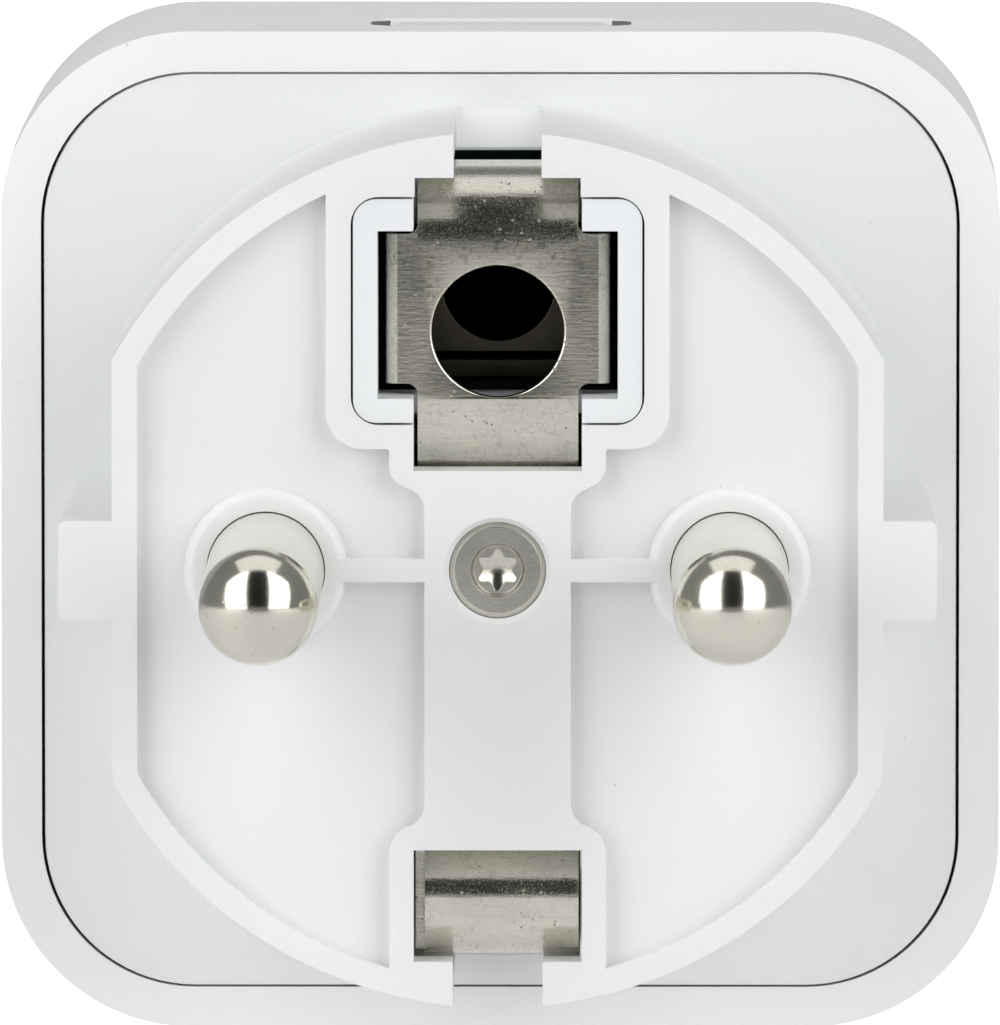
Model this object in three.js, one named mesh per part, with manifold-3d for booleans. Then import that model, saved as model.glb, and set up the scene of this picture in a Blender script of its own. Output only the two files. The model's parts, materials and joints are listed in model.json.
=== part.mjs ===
// A compact square plug-in power meter with a remote switch: CEE 7/7 plug behind, CEE 7/3 socket in front.
// Millimetres, +Z up. The plug's pins point along -Y and the socket well opens along +Y.
// The origin is the centre of the plug face, on the plug's own axis.
import * as THREE from 'three';
import Module from 'manifold-3d';
import { mergeVertices, toCreasedNormals } from 'three/addons/utils/BufferGeometryUtils.js';

const wasm = await Module();
wasm.setup();

// ---- Driving dimensions -------------------------------------------------------------------------

const body = {
  half: 21.1, cornerRadius: 8, wall: 1.7, rearY: 20, frontY: 46, edgeRadius: 3.2, pocketFrontY: 43,
};
const well = {
  radius: 19.5, depth: 17.5, wall: 1.2, flatX: 16.9, grooveHalf: 2.6, floorThickness: 1.8, pinHoleRadius: 3,
};
const plug = {
  radius: 18, flatX: 15.8, rib: 1.03, wall: 1.1, plate: 2.4, recess: 0.8,
  guideHalf: 2.03, columnHalf: 3, crossRibHalf: 0.47,
};
const pin = {
  x: 9.5, radius: 2.4, length: 19, holeRadius: 2.48, bossRadius: 3.35,
  collarRadius: 3.1, collarY: 2.7, collarThickness: 1.5, tailRadius: 1.8, tailEndY: 8.4,
};
const socketSleeve = {
  innerRadius: 2.5, outerRadius: 3.1, backY: 10.3, throatStartY: 21, throatY: 22, throat: 0.25, mouthY: 23.6,
  splitHalf: 0.4, splitStartY: 13,
};
const panel = { half: 19.15, cornerRadius: 6.3, rearY: 20.05, thickness: 1.65, gap: 0.15 };
const earthBlock = { half: 7.02, bottomZ: 5.0, cornerRadius: 1.6, neckHalf: 4.44, neckBottomZ: 3.2 };
const earthFrame = {
  half: 5.92, bottomZ: 6.07, topZ: 15.25, cornerRadius: 0.95, openHalf: 4.92, openBottomZ: 7.05,
  openTopZ: 13.93, endY: 16, fit: 0.2, neckNotchY: 5.3,
};
const upperContact = {
  thickness: 0.6, neckHalf: 3.3, plateHalf: 4.6, plateBottomZ: 7.5, plateTopZ: 13.7,
  faceY: 2.6, runZ: 16.0, runEndY: 13.6, topBend: 3.0, holeRadius: 2.7, holeZ: 9.64,
  kneeZ: 6.5, kneeBend: 2.5, lowY: 3.25, lowBend: 0.6, returnZ: 4.15,
};
const upperWindow = { half: 3.45, bottomZ: 4.1, topZ: 6.2 };
const lowerContact = {
  thickness: 0.6, half: 3.1, runZ: -15.75, runEndY: 18.3, runBend: 1.5, noseY: 1.5, noseZ: -13.05,
  noseBend: 1.35, shoulderY: 3.2, shoulderBend: 0.6, returnZ: -11.2, narrowY: 9,
};
const contactTail = { half: 1.2, clearanceY: 0.6 };
const lowerBlock = { half: 4.44, windowHalf: 3.45, windowTopZ: -11.5, windowBottomZ: -16.1 };
const slot = {
  topHalf: 1.8, bottomHalf: 1.85, footZ: 15.3, rampStartY: 15.1, rampStartZ: 16.4, rampTopZ: 17.8,
  rampHalf: 3, rampFootZ: 16.2, rampCrownZ: 17.7, shoulderHalf: 3.4, shoulderTopZ: 16.45,
};
const fork = { half: 3.9, backY: 8.4, frontY: 9, bottomZ: 7.2, topZ: 12.6, wayHalf: 2.5, wayBottomZ: 7.55 };
const screw = { headRadius: 1.965, headY: 0.35, headEndY: 2, dishRadius: 2.15, shankRadius: 1.25, endY: 22 };
const recess = { coreRadius: 0.64, lobeRadius: 0.3, lobeCentre: 0.6, endY: 1.4 };
const boss = { radius: 2.6, startY: 12.3, holeRadius: 1.35, holeEndY: 25, tubeRadius: 3.2, tubeEndY: 12 };
const board = { backY: 22.1, thickness: 1, half: 18.9, cornerRadius: 6 };
const bracket = { backY: 24, thickness: 0.6, half: 3.2, endZ: 17.3 };
const spring = {
  thickness: 0.5, half: 2.5, footY: 25, footZ: 16.9, kneeY: 29.6, kneeBend: 1.2, crestY: 35.5, crestZ: 15.2,
  crestBend: 2.4, tipY: 41, tipZ: 17,
};
const springSlot = { half: 2.8, halfHeight: 0.75 };
const shutter = { backY: 25, thickness: 1.2, lobeRadius: 3.5, barHalf: 3, hubRadius: 4.6, boreRadius: 2.9 };
const pocket = { half: 5.5, backY: 24, frontY: 28.2, floorZ: 20.3, wellZ: 19.2 };
const button = { half: 4.55, backY: 24.35, frontY: 27.85, topZ: 21, undersideZ: 19.9, clearance: 0.15 };
const buttonFlange = {
  leftX: -6.3, rightX: 5.2, backY: 24.3, frontY: 26.3, bottomZ: 18.55, topZ: 19.05,
  stemLeftX: -5.9, stemRightX: -4.1, stemBottomZ: 18.3,
};
const keySwitch = { leftX: -6.6, rightX: -3.4, bottomZ: 15.6, topZ: 17.6, frontY: 26, plungerHalf: 0.7 };

const relay = { half: 6, backY: 8.5, bottomZ: -10.4, topZ: -3.6 };
const filmCapacitor = { leftX: 6.6, rightX: 11.6, backY: 10, bottomZ: -11.6, topZ: -3.8 };
const bulkCapacitor = { radius: 3.4, backY: 9.8, x: -10.2, z: -7.6 };
const outputCapacitor = { radius: 2, backY: 13, x: 12.3, z: 5.8 };
const inductor = {
  flangeRadius: 3, coreRadius: 2.2, flange: 1, frontFlangeY: 20.6, backY: 11, x: -9.6, z: 7.4,
};
const fuse = { radius: 1.4, backY: 12, x: -8.2, z: 12.6 };
const varistor = { radius: 3.6, halfThickness: 1.1, x: -3.2, y: 17.5, z: -13.4 };
const shunt = { leftX: 3.4, rightX: 7.4, backY: 19.4, bottomZ: -14.6, topZ: -12.8 };
const radioBoard = { leftX: 6.7, rightX: 7.5, backY: 7.8, bottomZ: 4, topZ: 14.4 };
const radioShield = { leftX: 7.6, rightX: 9.8, backY: 9.2, frontY: 19.4, bottomZ: 4.6, topZ: 12.9 };
const antenna = { radius: 0.4, frontY: 41, x: 16.1, z: 16.1 };

const wellFloorY = body.frontY - well.depth;
const floorBackY = wellFloorY - well.floorThickness;
const panelFrontY = panel.rearY + panel.thickness;
const boardFrontY = board.backY + board.thickness;
const innerHalf = panel.half + panel.gap;

// ---- Materials ----------------------------------------------------------------------------------

const finishes = {
  white_shell: { color: 0xe8ebe8, roughness: 0.42 },
  white_insert: { color: 0xeef0f1, roughness: 0.4 },
  nickel: { color: 0xb9b6aa, roughness: 0.25, metalness: 1 },
  spring_bronze: { color: 0xb88d55, roughness: 0.35, metalness: 1 },
  steel: { color: 0xb0b2b4, roughness: 0.3, metalness: 1 },
  circuit_board: { color: 0x1f5a38, roughness: 0.5 },
  black_plastic: { color: 0x222427, roughness: 0.5 },
  yellow_plastic: { color: 0xc9a227, roughness: 0.5 },
  blue_coating: { color: 0x2f62a8, roughness: 0.45 },
  aluminium_can: { color: 0xc3c6c8, roughness: 0.3, metalness: 1 },
  copper: { color: 0xb06a3b, roughness: 0.35, metalness: 1 },
  clear_resin: { color: 0xdfe8ef, roughness: 0.15 },
};

// ---- Small toolkit ------------------------------------------------------------------------------

function solidOf(geometry) {
  const bare = geometry.clone();
  bare.deleteAttribute('normal');
  bare.deleteAttribute('uv');
  const merged = mergeVertices(bare, 1e-4);
  const mesh = new wasm.Mesh({
    numProp: 3,
    vertProperties: new Float32Array(merged.attributes.position.array),
    triVerts: new Uint32Array(merged.index.array),
  });
  const solid = new wasm.Manifold(mesh);
  return solid.volume() < 0 ? solidOf(turnedInsideOut(merged)) : solid;
}

function turnedInsideOut(geometry) {
  const flipped = geometry.clone();
  const corners = flipped.index.array;
  for (let i = 0; i < corners.length; i += 3) {
    [corners[i], corners[i + 1]] = [corners[i + 1], corners[i]];
  }
  return flipped;
}

function geometryOf(solid) {
  const mesh = solid.getMesh();
  const geometry = new THREE.BufferGeometry();
  geometry.setAttribute('position', new THREE.BufferAttribute(new Float32Array(mesh.vertProperties), 3));
  geometry.setIndex(new THREE.BufferAttribute(new Uint32Array(mesh.triVerts), 1));
  return toCreasedNormals(geometry, 0.6);
}

function joined(solids) {
  return solids.reduce((whole, next) => whole.add(next));
}

// An outline in (X, Z), made solid from one Y to another.
function slab(shape, fromY, toY, segments = 8) {
  const settings = { depth: toY - fromY, bevelEnabled: false, curveSegments: segments };
  return solidOf(new THREE.ExtrudeGeometry(shape, settings).rotateX(Math.PI / 2).translate(0, toY, 0));
}

// An outline in (X, Y), made solid from one Z to another.
function layer(shape, fromZ, toZ, segments = 8) {
  const settings = { depth: toZ - fromZ, bevelEnabled: false, curveSegments: segments };
  return solidOf(new THREE.ExtrudeGeometry(shape, settings).translate(0, 0, fromZ));
}

// An outline in (Y, Z), made solid from one X to another.
function profile(shape, fromX, toX, segments = 8) {
  const settings = { depth: toX - fromX, bevelEnabled: false, curveSegments: segments };
  const axes = new THREE.Matrix4().makeBasis(
    new THREE.Vector3(0, 1, 0), new THREE.Vector3(0, 0, 1), new THREE.Vector3(1, 0, 0));
  return solidOf(new THREE.ExtrudeGeometry(shape, settings).applyMatrix4(axes).translate(fromX, 0, 0));
}

// A solid turned about the Y axis, from (radius, Y) points, then moved sideways.
function turned(points, x = 0, z = 0, segments = 24) {
  const outline = points.map(([radius, y]) => new THREE.Vector2(radius, y));
  return solidOf(new THREE.LatheGeometry(outline, segments).translate(x, 0, z));
}

function rod(radius, fromY, toY, x = 0, z = 0, segments = 24) {
  return turned([[0, fromY], [radius, fromY], [radius, toY], [0, toY]], x, z, segments);
}

function block(lowX, highX, lowY, highY, lowZ, highZ) {
  const box = new THREE.BoxGeometry(highX - lowX, highY - lowY, highZ - lowZ);
  return solidOf(box.translate((lowX + highX) / 2, (lowY + highY) / 2, (lowZ + highZ) / 2));
}

function roundedRectangle(lowX, highX, lowZ, highZ, radius) {
  const shape = new THREE.Shape();
  shape.moveTo(highX, lowZ + radius);
  shape.absarc(highX - radius, highZ - radius, radius, 0, Math.PI / 2);
  shape.absarc(lowX + radius, highZ - radius, radius, Math.PI / 2, Math.PI);
  shape.absarc(lowX + radius, lowZ + radius, radius, Math.PI, Math.PI * 1.5);
  shape.absarc(highX - radius, lowZ + radius, radius, Math.PI * 1.5, Math.PI * 2);
  shape.closePath();
  return shape;
}

function square(half, radius) {
  return roundedRectangle(-half, half, -half, half, radius);
}

// A circle with its left and right sides cut flat.
function flattedCircle(radius, flatX) {
  const angle = Math.acos(flatX / radius);
  const shape = new THREE.Shape();
  shape.absarc(0, 0, radius, angle, Math.PI - angle);
  shape.absarc(0, 0, radius, Math.PI + angle, Math.PI * 2 - angle);
  shape.closePath();
  return shape;
}

// The corners of an open line, with each bend rounded to one radius.
function rounded(corners, radius, steps = 5) {
  const points = corners.map(([a, b]) => new THREE.Vector2(a, b));
  const path = [points[0]];
  for (let i = 1; i < points.length - 1; i += 1) {
    const back = points[i - 1].clone().sub(points[i]).normalize();
    const on = points[i + 1].clone().sub(points[i]).normalize();
    const halfAngle = Math.acos(back.dot(on)) / 2;
    const reach = radius / Math.tan(halfAngle);
    const centre = back.clone().add(on).normalize().multiplyScalar(radius / Math.sin(halfAngle)).add(points[i]);
    const start = back.clone().multiplyScalar(reach).add(points[i]).sub(centre);
    const turn = -Math.sign(back.cross(on)) * (Math.PI - 2 * halfAngle);
    for (let step = 0; step <= steps; step += 1) {
      path.push(start.clone().rotateAround(new THREE.Vector2(), turn * step / steps).add(centre));
    }
  }
  path.push(points[points.length - 1]);
  return path;
}

// The outline of a strip of one thickness that follows an open line.
function ribbon(path, thickness) {
  const left = [];
  const right = [];
  path.forEach((point, i) => {
    const before = path[Math.max(i - 1, 0)];
    const after = path[Math.min(i + 1, path.length - 1)];
    const along = after.clone().sub(before).normalize();
    const across = new THREE.Vector2(-along.y, along.x).multiplyScalar(thickness / 2);
    left.push(point.clone().add(across));
    right.unshift(point.clone().sub(across));
  });
  return new THREE.Shape([...left, ...right]);
}

const device = new THREE.Group();

function addPart(name, finish, solid) {
  const look = finishes[finish];
  const material = new THREE.MeshStandardMaterial({
    name: finish, color: look.color, roughness: look.roughness, metalness: look.metalness ?? 0,
  });
  const mesh = new THREE.Mesh(geometryOf(solid), material);
  mesh.name = name;
  device.add(mesh);
}

// ---- Front shell: sides, front face, socket well and its floor ----------------------------------

function wellOutline() {
  const open = flattedCircle(well.radius, well.flatX);
  const groove = block(
    -well.radius, well.radius, wellFloorY, body.frontY + 1, -well.grooveHalf, well.grooveHalf);
  const bowl = rod(well.radius, wellFloorY, body.frontY + 1, 0, 0, 48);
  return slab(open, wellFloorY, body.frontY + 1, 20).add(groove.intersect(bowl));
}

function outerBlock() {
  const settings = {
    depth: 40, curveSegments: 6, bevelThickness: body.edgeRadius, bevelSize: body.edgeRadius,
    bevelOffset: -body.edgeRadius, bevelSegments: 4,
  };
  const bar = new THREE.ExtrudeGeometry(square(body.half, body.cornerRadius), settings);
  bar.rotateX(Math.PI / 2).translate(0, body.frontY - body.edgeRadius, 0);
  const keep = block(-30, 30, body.rearY, body.frontY + 1, -30, 30);
  return solidOf(bar).intersect(keep);
}

function buttonPocket() {
  const { half, backY, frontY, floorZ, wellZ } = pocket;
  const dish = layer(roundedRectangle(-half, half, backY, frontY, 2), floorZ, body.half + 1, 4);
  const gap = button.clearance;
  const opening = layer(
    roundedRectangle(-button.half - gap, button.half + gap, button.backY - gap, button.frontY + gap, 0.9),
    wellZ, body.half + 1, 3);
  return dish.add(opening);
}

function makeFrontShell() {
  const inside = slab(square(innerHalf, panel.cornerRadius + panel.gap), body.rearY - 1, body.pocketFrontY, 6);
  const core = rod(well.radius + well.wall, floorBackY, body.frontY, 0, 0, 48);
  const screwBoss = rod(boss.radius, boss.startY, wellFloorY - 0.5, 0, 0, 24);
  let shell = outerBlock().subtract(inside.subtract(core)).subtract(wellOutline()).add(screwBoss);
  shell = shell.subtract(rod(boss.holeRadius, boss.startY - 1, boss.holeEndY, 0, 0, 16));
  for (const side of [-1, 1]) {
    shell = shell.subtract(rod(well.pinHoleRadius, floorBackY - 1, wellFloorY + 1, side * pin.x, 0, 24));
    const slotZ = side * spring.footZ;
    const way = springSlot;
    const [lowZ, highZ] = [slotZ - way.halfHeight, slotZ + way.halfHeight];
    shell = shell.subtract(block(-way.half, way.half, floorBackY - 1, wellFloorY + 1, lowZ, highZ));
  }
  addPart('front_shell', 'white_shell', shell.subtract(buttonPocket()));
}

// ---- Rear housing: panel, plug cup and face -----------------------------------------------------

function columnWithShoulders() {
  const shape = new THREE.Shape();
  const { columnHalf } = plug;
  const foot = lowerBlock.half;
  shape.moveTo(columnHalf, 3.2);
  shape.lineTo(columnHalf, -9.6);
  shape.bezierCurveTo(columnHalf, -10.8, foot, -10.3, foot, -11.5);
  shape.lineTo(foot, -17.9);
  shape.lineTo(-foot, -17.9);
  shape.lineTo(-foot, -11.5);
  shape.bezierCurveTo(-foot, -10.3, -columnHalf, -10.8, -columnHalf, -9.6);
  shape.lineTo(-columnHalf, 3.2);
  shape.closePath();
  return shape;
}

// Everything on the plug face that stands up to the face plane inside the edge rib.
function faceRelief(fromY, toY) {
  const { half, bottomZ, cornerRadius, neckHalf, neckBottomZ } = earthBlock;
  const parts = [
    slab(columnWithShoulders(), fromY, toY, 5),
    slab(roundedRectangle(-half, half, bottomZ, 19, cornerRadius), fromY, toY, 4),
    slab(roundedRectangle(-neckHalf, neckHalf, neckBottomZ, 6, 0.5), fromY, toY, 3),
    block(-pin.x, pin.x, fromY, toY, -plug.crossRibHalf, plug.crossRibHalf),
  ];
  for (const side of [-1, 1]) {
    parts.push(rod(pin.bossRadius, fromY, toY, side * pin.x, 0, 28));
  }
  return joined(parts);
}

function plugCup() {
  const outer = slab(flattedCircle(plug.radius, plug.flatX), 0, panelFrontY, 24);
  const hollow = slab(
    flattedCircle(plug.radius - plug.wall, plug.flatX - plug.wall), plug.plate, panelFrontY + 1, 24);
  const guides = block(-plug.radius, plug.radius, 0, panel.rearY + 0.5, -plug.guideHalf, plug.guideHalf);
  const pocketArea = slab(
    flattedCircle(plug.radius - plug.rib, plug.flatX - plug.rib), -1, plug.recess, 24);
  return outer.add(guides).subtract(hollow).subtract(pocketArea.subtract(faceRelief(-2, plug.recess + 1)));
}

function topSlot() {
  const wedge = new THREE.Shape();
  wedge.moveTo(-1, slot.footZ);
  wedge.lineTo(slot.rampStartY, slot.footZ);
  wedge.lineTo(slot.rampStartY, slot.rampStartZ);
  wedge.lineTo(panel.rearY - 0.2, slot.rampTopZ);
  wedge.lineTo(panel.rearY - 0.2, 19);
  wedge.lineTo(-1, 19);
  wedge.closePath();
  const shoulders = block(
    -slot.shoulderHalf, slot.shoulderHalf, -1, slot.rampStartY, earthFrame.openTopZ, slot.shoulderTopZ);
  return profile(wedge, -slot.topHalf, slot.topHalf).add(shoulders);
}

function makeRearHousing() {
  const plate = slab(square(panel.half, panel.cornerRadius), panel.rearY, panelFrontY, 6);
  const tube = rod(boss.tubeRadius, plug.plate - 0.5, boss.tubeEndY, 0, 0, 24);
  const mouth = slab(
    flattedCircle(plug.radius - plug.wall, plug.flatX - plug.wall), panel.rearY - 1, panelFrontY + 1, 24);
  const ramp = block(
    -slot.rampHalf, slot.rampHalf, slot.rampStartY, panel.rearY + 0.5, slot.rampFootZ, slot.rampCrownZ);
  let housing = joined([plugCup(), plate.subtract(mouth), tube, ramp]);
  const { half, bottomZ, topZ, cornerRadius, fit } = earthFrame;
  const seat = roundedRectangle(-half - fit, half + fit, bottomZ - fit, topZ + fit, cornerRadius + fit);
  const { windowHalf, windowTopZ, windowBottomZ } = lowerBlock;
  const cuts = [
    slab(seat, -1, plug.plate + 1, 4),
    block(-upperWindow.half, upperWindow.half, -1, plug.plate + 1, upperWindow.bottomZ, upperWindow.topZ),
    topSlot(),
    block(-windowHalf, windowHalf, -1, plug.plate + 1, windowBottomZ, windowTopZ),
    block(-slot.bottomHalf, slot.bottomHalf, -1, panel.rearY - 0.05, -19, -15),
    rod(screw.dishRadius, -1, screw.headEndY + 0.1, 0, 0, 28),
    rod(screw.shankRadius + 0.2, 0, boss.tubeEndY + 1, 0, 0, 16),
  ];
  for (const side of [-1, 1]) {
    cuts.push(rod(pin.holeRadius, -1, plug.plate + 1, side * pin.x, 0, 28));
  }
  cuts.forEach((cut) => {
    housing = housing.subtract(cut);
  });
  addPart('rear_housing', 'white_insert', housing);
}

// ---- Earth socket of the plug, and the two plug earth contacts ----------------------------------

function makeEarthSocketFrame() {
  const { half, bottomZ, topZ, cornerRadius, openHalf, openBottomZ, openTopZ, endY, neckNotchY } = earthFrame;
  const sleeve = slab(roundedRectangle(-half, half, bottomZ, topZ, cornerRadius), 0.05, endY, 4);
  const bore = block(-openHalf, openHalf, -1, endY - 1, openBottomZ, openTopZ);
  const notch = upperContact.neckHalf + 0.15;
  const neckWay = block(-notch, notch, -1, neckNotchY, bottomZ - 1, topZ + 1);
  addPart('earth_socket_frame', 'white_insert', sleeve.subtract(bore).subtract(neckWay));
}

function makeUpperContact() {
  const c = upperContact;
  const middleY = c.faceY + c.thickness / 2;
  const corners = [
    [c.runEndY, c.runZ], [middleY, c.runZ], [middleY, c.kneeZ], [c.lowY, c.returnZ],
    [bracket.backY - 0.1, c.returnZ],
  ];
  const bends = [c.topBend, c.kneeBend, c.lowBend];
  const path = bends.reduce((points, radius, i) => {
    const bend = rounded(corners.slice(i, i + 3), radius, i === 0 ? 7 : 3);
    return [...points, ...bend.slice(1, -1)];
  }, [new THREE.Vector2(...corners[0])]);
  path.push(new THREE.Vector2(...corners[corners.length - 1]));
  const strip = profile(ribbon(path, c.thickness), -c.neckHalf, c.neckHalf);
  const plate = block(
    -c.plateHalf, c.plateHalf, c.faceY, c.faceY + c.thickness, c.plateBottomZ, c.plateTopZ);
  const hole = rod(c.holeRadius, 0, c.lowY + 2, 0, c.holeZ, 28);
  const tailY = board.backY - contactTail.clearanceY;
  const boardWay = block(-c.neckHalf - 1, c.neckHalf + 1, tailY, bracket.backY, 0, c.plateBottomZ);
  const tail = block(-contactTail.half, contactTail.half, tailY, bracket.backY - 0.1, 0, c.plateBottomZ);
  const narrowed = strip.subtract(boardWay.subtract(tail));
  addPart('plug_earth_contact_upper', 'nickel', narrowed.add(plate).subtract(hole));
}

function makeLowerContact() {
  const c = lowerContact;
  const corners = [
    [c.runEndY, c.runZ], [c.noseY + 0.3, c.runZ], [c.noseY, c.noseZ], [c.shoulderY, c.returnZ],
    [bracket.backY - 0.1, c.returnZ],
  ];
  const path = [new THREE.Vector2(...corners[0])];
  [c.runBend, c.noseBend, c.shoulderBend].forEach((radius, i) => {
    path.push(...rounded(corners.slice(i, i + 3), radius, 5).slice(1, -1));
  });
  path.push(new THREE.Vector2(...corners[corners.length - 1]));
  const strip = profile(ribbon(path, c.thickness), -c.half, c.half);
  const narrow = block(-c.half - 1, c.half + 1, c.narrowY, bracket.backY, c.returnZ - 1, c.returnZ + 1);
  const tail = block(
    -contactTail.half, contactTail.half, c.narrowY - 1, bracket.backY, c.returnZ - 1, c.returnZ + 1);
  addPart('plug_earth_contact_lower', 'nickel', strip.subtract(narrow.subtract(tail)));
}

function makeEarthPinFork() {
  const plate = block(-fork.half, fork.half, fork.backY, fork.frontY, fork.bottomZ, fork.topZ);
  const way = block(
    -fork.wayHalf, fork.wayHalf, fork.backY - 1, fork.frontY + 1, fork.wayBottomZ, fork.topZ + 1);
  addPart('earth_pin_fork', 'spring_bronze', plate.subtract(way));
}

// ---- Plug pins, their leads and the sprung contacts of the socket -------------------------------

function pinProfile() {
  const dome = [];
  for (let step = 0; step <= 6; step += 1) {
    const angle = (Math.PI / 2) * step / 6;
    dome.push([pin.radius * Math.sin(angle), -pin.length + pin.radius * (1 - Math.cos(angle))]);
  }
  return [
    ...dome, [pin.radius, pin.collarY], [pin.collarRadius, pin.collarY],
    [pin.collarRadius, pin.collarY + pin.collarThickness], [pin.tailRadius, pin.collarY + pin.collarThickness],
    [pin.tailRadius, pin.tailEndY], [0, pin.tailEndY],
  ];
}

function pinLead(side) {
  const runX = 13.4;
  const path = rounded([[7.3, 5.4], [runX, 5.4], [runX, board.backY - 0.1]], 0.9, 3);
  const strip = layer(ribbon(path, 0.6), -1.6, 1.6);
  const ring = rod(3, 5.1, 5.7, pin.x, 0, 20);
  const lead = strip.add(ring).subtract(rod(pin.tailRadius + 0.1, 4, 7, pin.x, 0, 20));
  return side > 0 ? lead : lead.mirror([1, 0, 0]);
}

// A split sleeve whose mouth narrows to a throat and flares again.
function socketContact(side) {
  const s = socketSleeve;
  const x = side * pin.x;
  const sleeve = turned([
    [s.innerRadius, s.backY], [s.outerRadius, s.backY], [s.outerRadius, s.throatStartY],
    [s.outerRadius - s.throat, s.throatY], [s.outerRadius, s.mouthY], [s.innerRadius + 0.1, s.mouthY],
    [s.innerRadius - 0.1, s.throatY], [s.innerRadius, s.throatStartY], [s.innerRadius, s.backY],
  ], x, 0, 24);
  const split = block(x - s.splitHalf, x + s.splitHalf, s.splitStartY, s.mouthY + 1, -4, 4);
  return sleeve.subtract(split);
}

function makeContacts() {
  const names = { '-1': 'line', 1: 'neutral' };
  for (const side of [-1, 1]) {
    const pole = names[side];
    addPart(`${pole}_pin`, 'nickel', turned(pinProfile(), side * pin.x, 0, 28));
    addPart(`${pole}_pin_lead`, 'copper', pinLead(side));
    addPart(`${pole}_socket_contact`, 'spring_bronze', socketContact(side));
  }
}

// ---- Housing screw ------------------------------------------------------------------------------

function makeScrew() {
  const head = rod(screw.headRadius, screw.headY, screw.headEndY, 0, 0, 28);
  const shank = rod(screw.shankRadius, screw.headEndY - 0.2, screw.endY, 0, 0, 16);
  const lobes = [];
  for (let i = 0; i < 6; i += 1) {
    const angle = Math.PI / 2 + (Math.PI / 3) * i;
    const x = recess.lobeCentre * Math.cos(angle);
    const z = recess.lobeCentre * Math.sin(angle);
    lobes.push(rod(recess.lobeRadius, 0, recess.endY, x, z, 8));
  }
  const star = rod(recess.coreRadius, 0, recess.endY, 0, 0, 12).add(joined(lobes));
  addPart('housing_screw', 'steel', head.add(shank).subtract(star));
}

// ---- Socket earth: bracket behind the floor and two springs in the well -------------------------

function makeSocketEarth() {
  const b = bracket;
  const strap = block(-b.half, b.half, b.backY, b.backY + b.thickness, -b.endZ, b.endZ);
  const bore = rod(boss.radius + 0.15, b.backY - 1, b.backY + 2, 0, 0, 24);
  const waist = b.half + 0.9;
  const eye = rod(waist, b.backY, b.backY + b.thickness, 0, 0, 24);
  addPart('socket_earth_bracket', 'nickel', strap.add(eye).subtract(bore));
  const s = spring;
  const corners = [
    [s.footY, s.footZ], [s.kneeY, s.footZ], [s.crestY, s.crestZ], [s.tipY, s.tipZ],
  ];
  const path = [new THREE.Vector2(...corners[0])];
  [s.kneeBend, s.crestBend].forEach((radius, i) => {
    path.push(...rounded(corners.slice(i, i + 3), radius, 4).slice(1, -1));
  });
  path.push(new THREE.Vector2(...corners[corners.length - 1]));
  const upper = profile(ribbon(path, s.thickness), -s.half, s.half);
  addPart('socket_earth_spring_upper', 'nickel', upper);
  addPart('socket_earth_spring_lower', 'nickel', upper.mirror([0, 0, 1]));
}

// ---- Child shutter and its spring ---------------------------------------------------------------

function makeShutter() {
  const s = shutter;
  const frontY = s.backY + s.thickness;
  const parts = [
    block(-pin.x, pin.x, s.backY, frontY, -s.barHalf, s.barHalf),
    rod(s.hubRadius, s.backY, frontY, 0, 0, 24),
  ];
  for (const side of [-1, 1]) {
    parts.push(rod(s.lobeRadius, s.backY, frontY, side * pin.x, 0, 24));
  }
  const bore = rod(s.boreRadius, s.backY - 1, frontY + 1, 0, 0, 24);
  addPart('shutter_plate', 'black_plastic', joined(parts).subtract(bore));
}

// A torsion spring of round wire about the screw boss, between the board and the earth bracket.
function makeShutterSpring() {
  const wireRadius = 0.2;
  const coilRadius = 3.1;
  const turns = 1.4;
  const steps = 28;
  const startY = board.backY + 0.35;
  const pitch = 0.8;
  const points = [];
  for (let step = 0; step <= steps; step += 1) {
    const angle = 2 * Math.PI * turns * step / steps;
    const y = startY + pitch * turns * step / steps;
    points.push(new THREE.Vector3(coilRadius * Math.cos(angle), y, coilRadius * Math.sin(angle)));
  }
  const section = new THREE.Shape();
  section.absarc(0, 0, wireRadius, 0, Math.PI * 2);
  const settings = {
    steps, curveSegments: 6, bevelEnabled: false, extrudePath: new THREE.CatmullRomCurve3(points),
  };
  addPart('shutter_spring', 'steel', solidOf(new THREE.ExtrudeGeometry(section, settings)));
}

// ---- Circuit board and what it carries ----------------------------------------------------------

function makeBoard() {
  let plate = slab(square(board.half, board.cornerRadius), board.backY, boardFrontY, 5);
  const cuts = [
    block(-4.3, 4.3, board.backY - 1, boardFrontY + 1, -3.9, 4.8),
    block(-1.5, 1.5, board.backY - 1, boardFrontY + 1, -11.8, -10.6),
  ];
  for (const side of [-1, 1]) {
    cuts.push(rod(3.5, board.backY - 1, boardFrontY + 1, side * pin.x, 0, 24));
  }
  cuts.forEach((cut) => {
    plate = plate.subtract(cut);
  });
  addPart('main_circuit_board', 'circuit_board', plate);
}

const boardFootY = board.backY - 0.1;
const boardFaceY = boardFrontY + 0.05;

// A boxy part on the board's plug side, from its own back to the board.
function boardBlock(size) {
  return block(size.leftX, size.rightX, size.backY, boardFootY, size.bottomZ, size.topZ);
}

function boardRod(size, segments) {
  return rod(size.radius, size.backY, boardFootY, size.x, size.z, segments);
}

// A low chip on the board's socket side, given the corners of its outline.
function chip(leftX, rightX, bottomZ, topZ, height) {
  return block(leftX, rightX, boardFaceY, boardFaceY + height, bottomZ, topZ);
}

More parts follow.
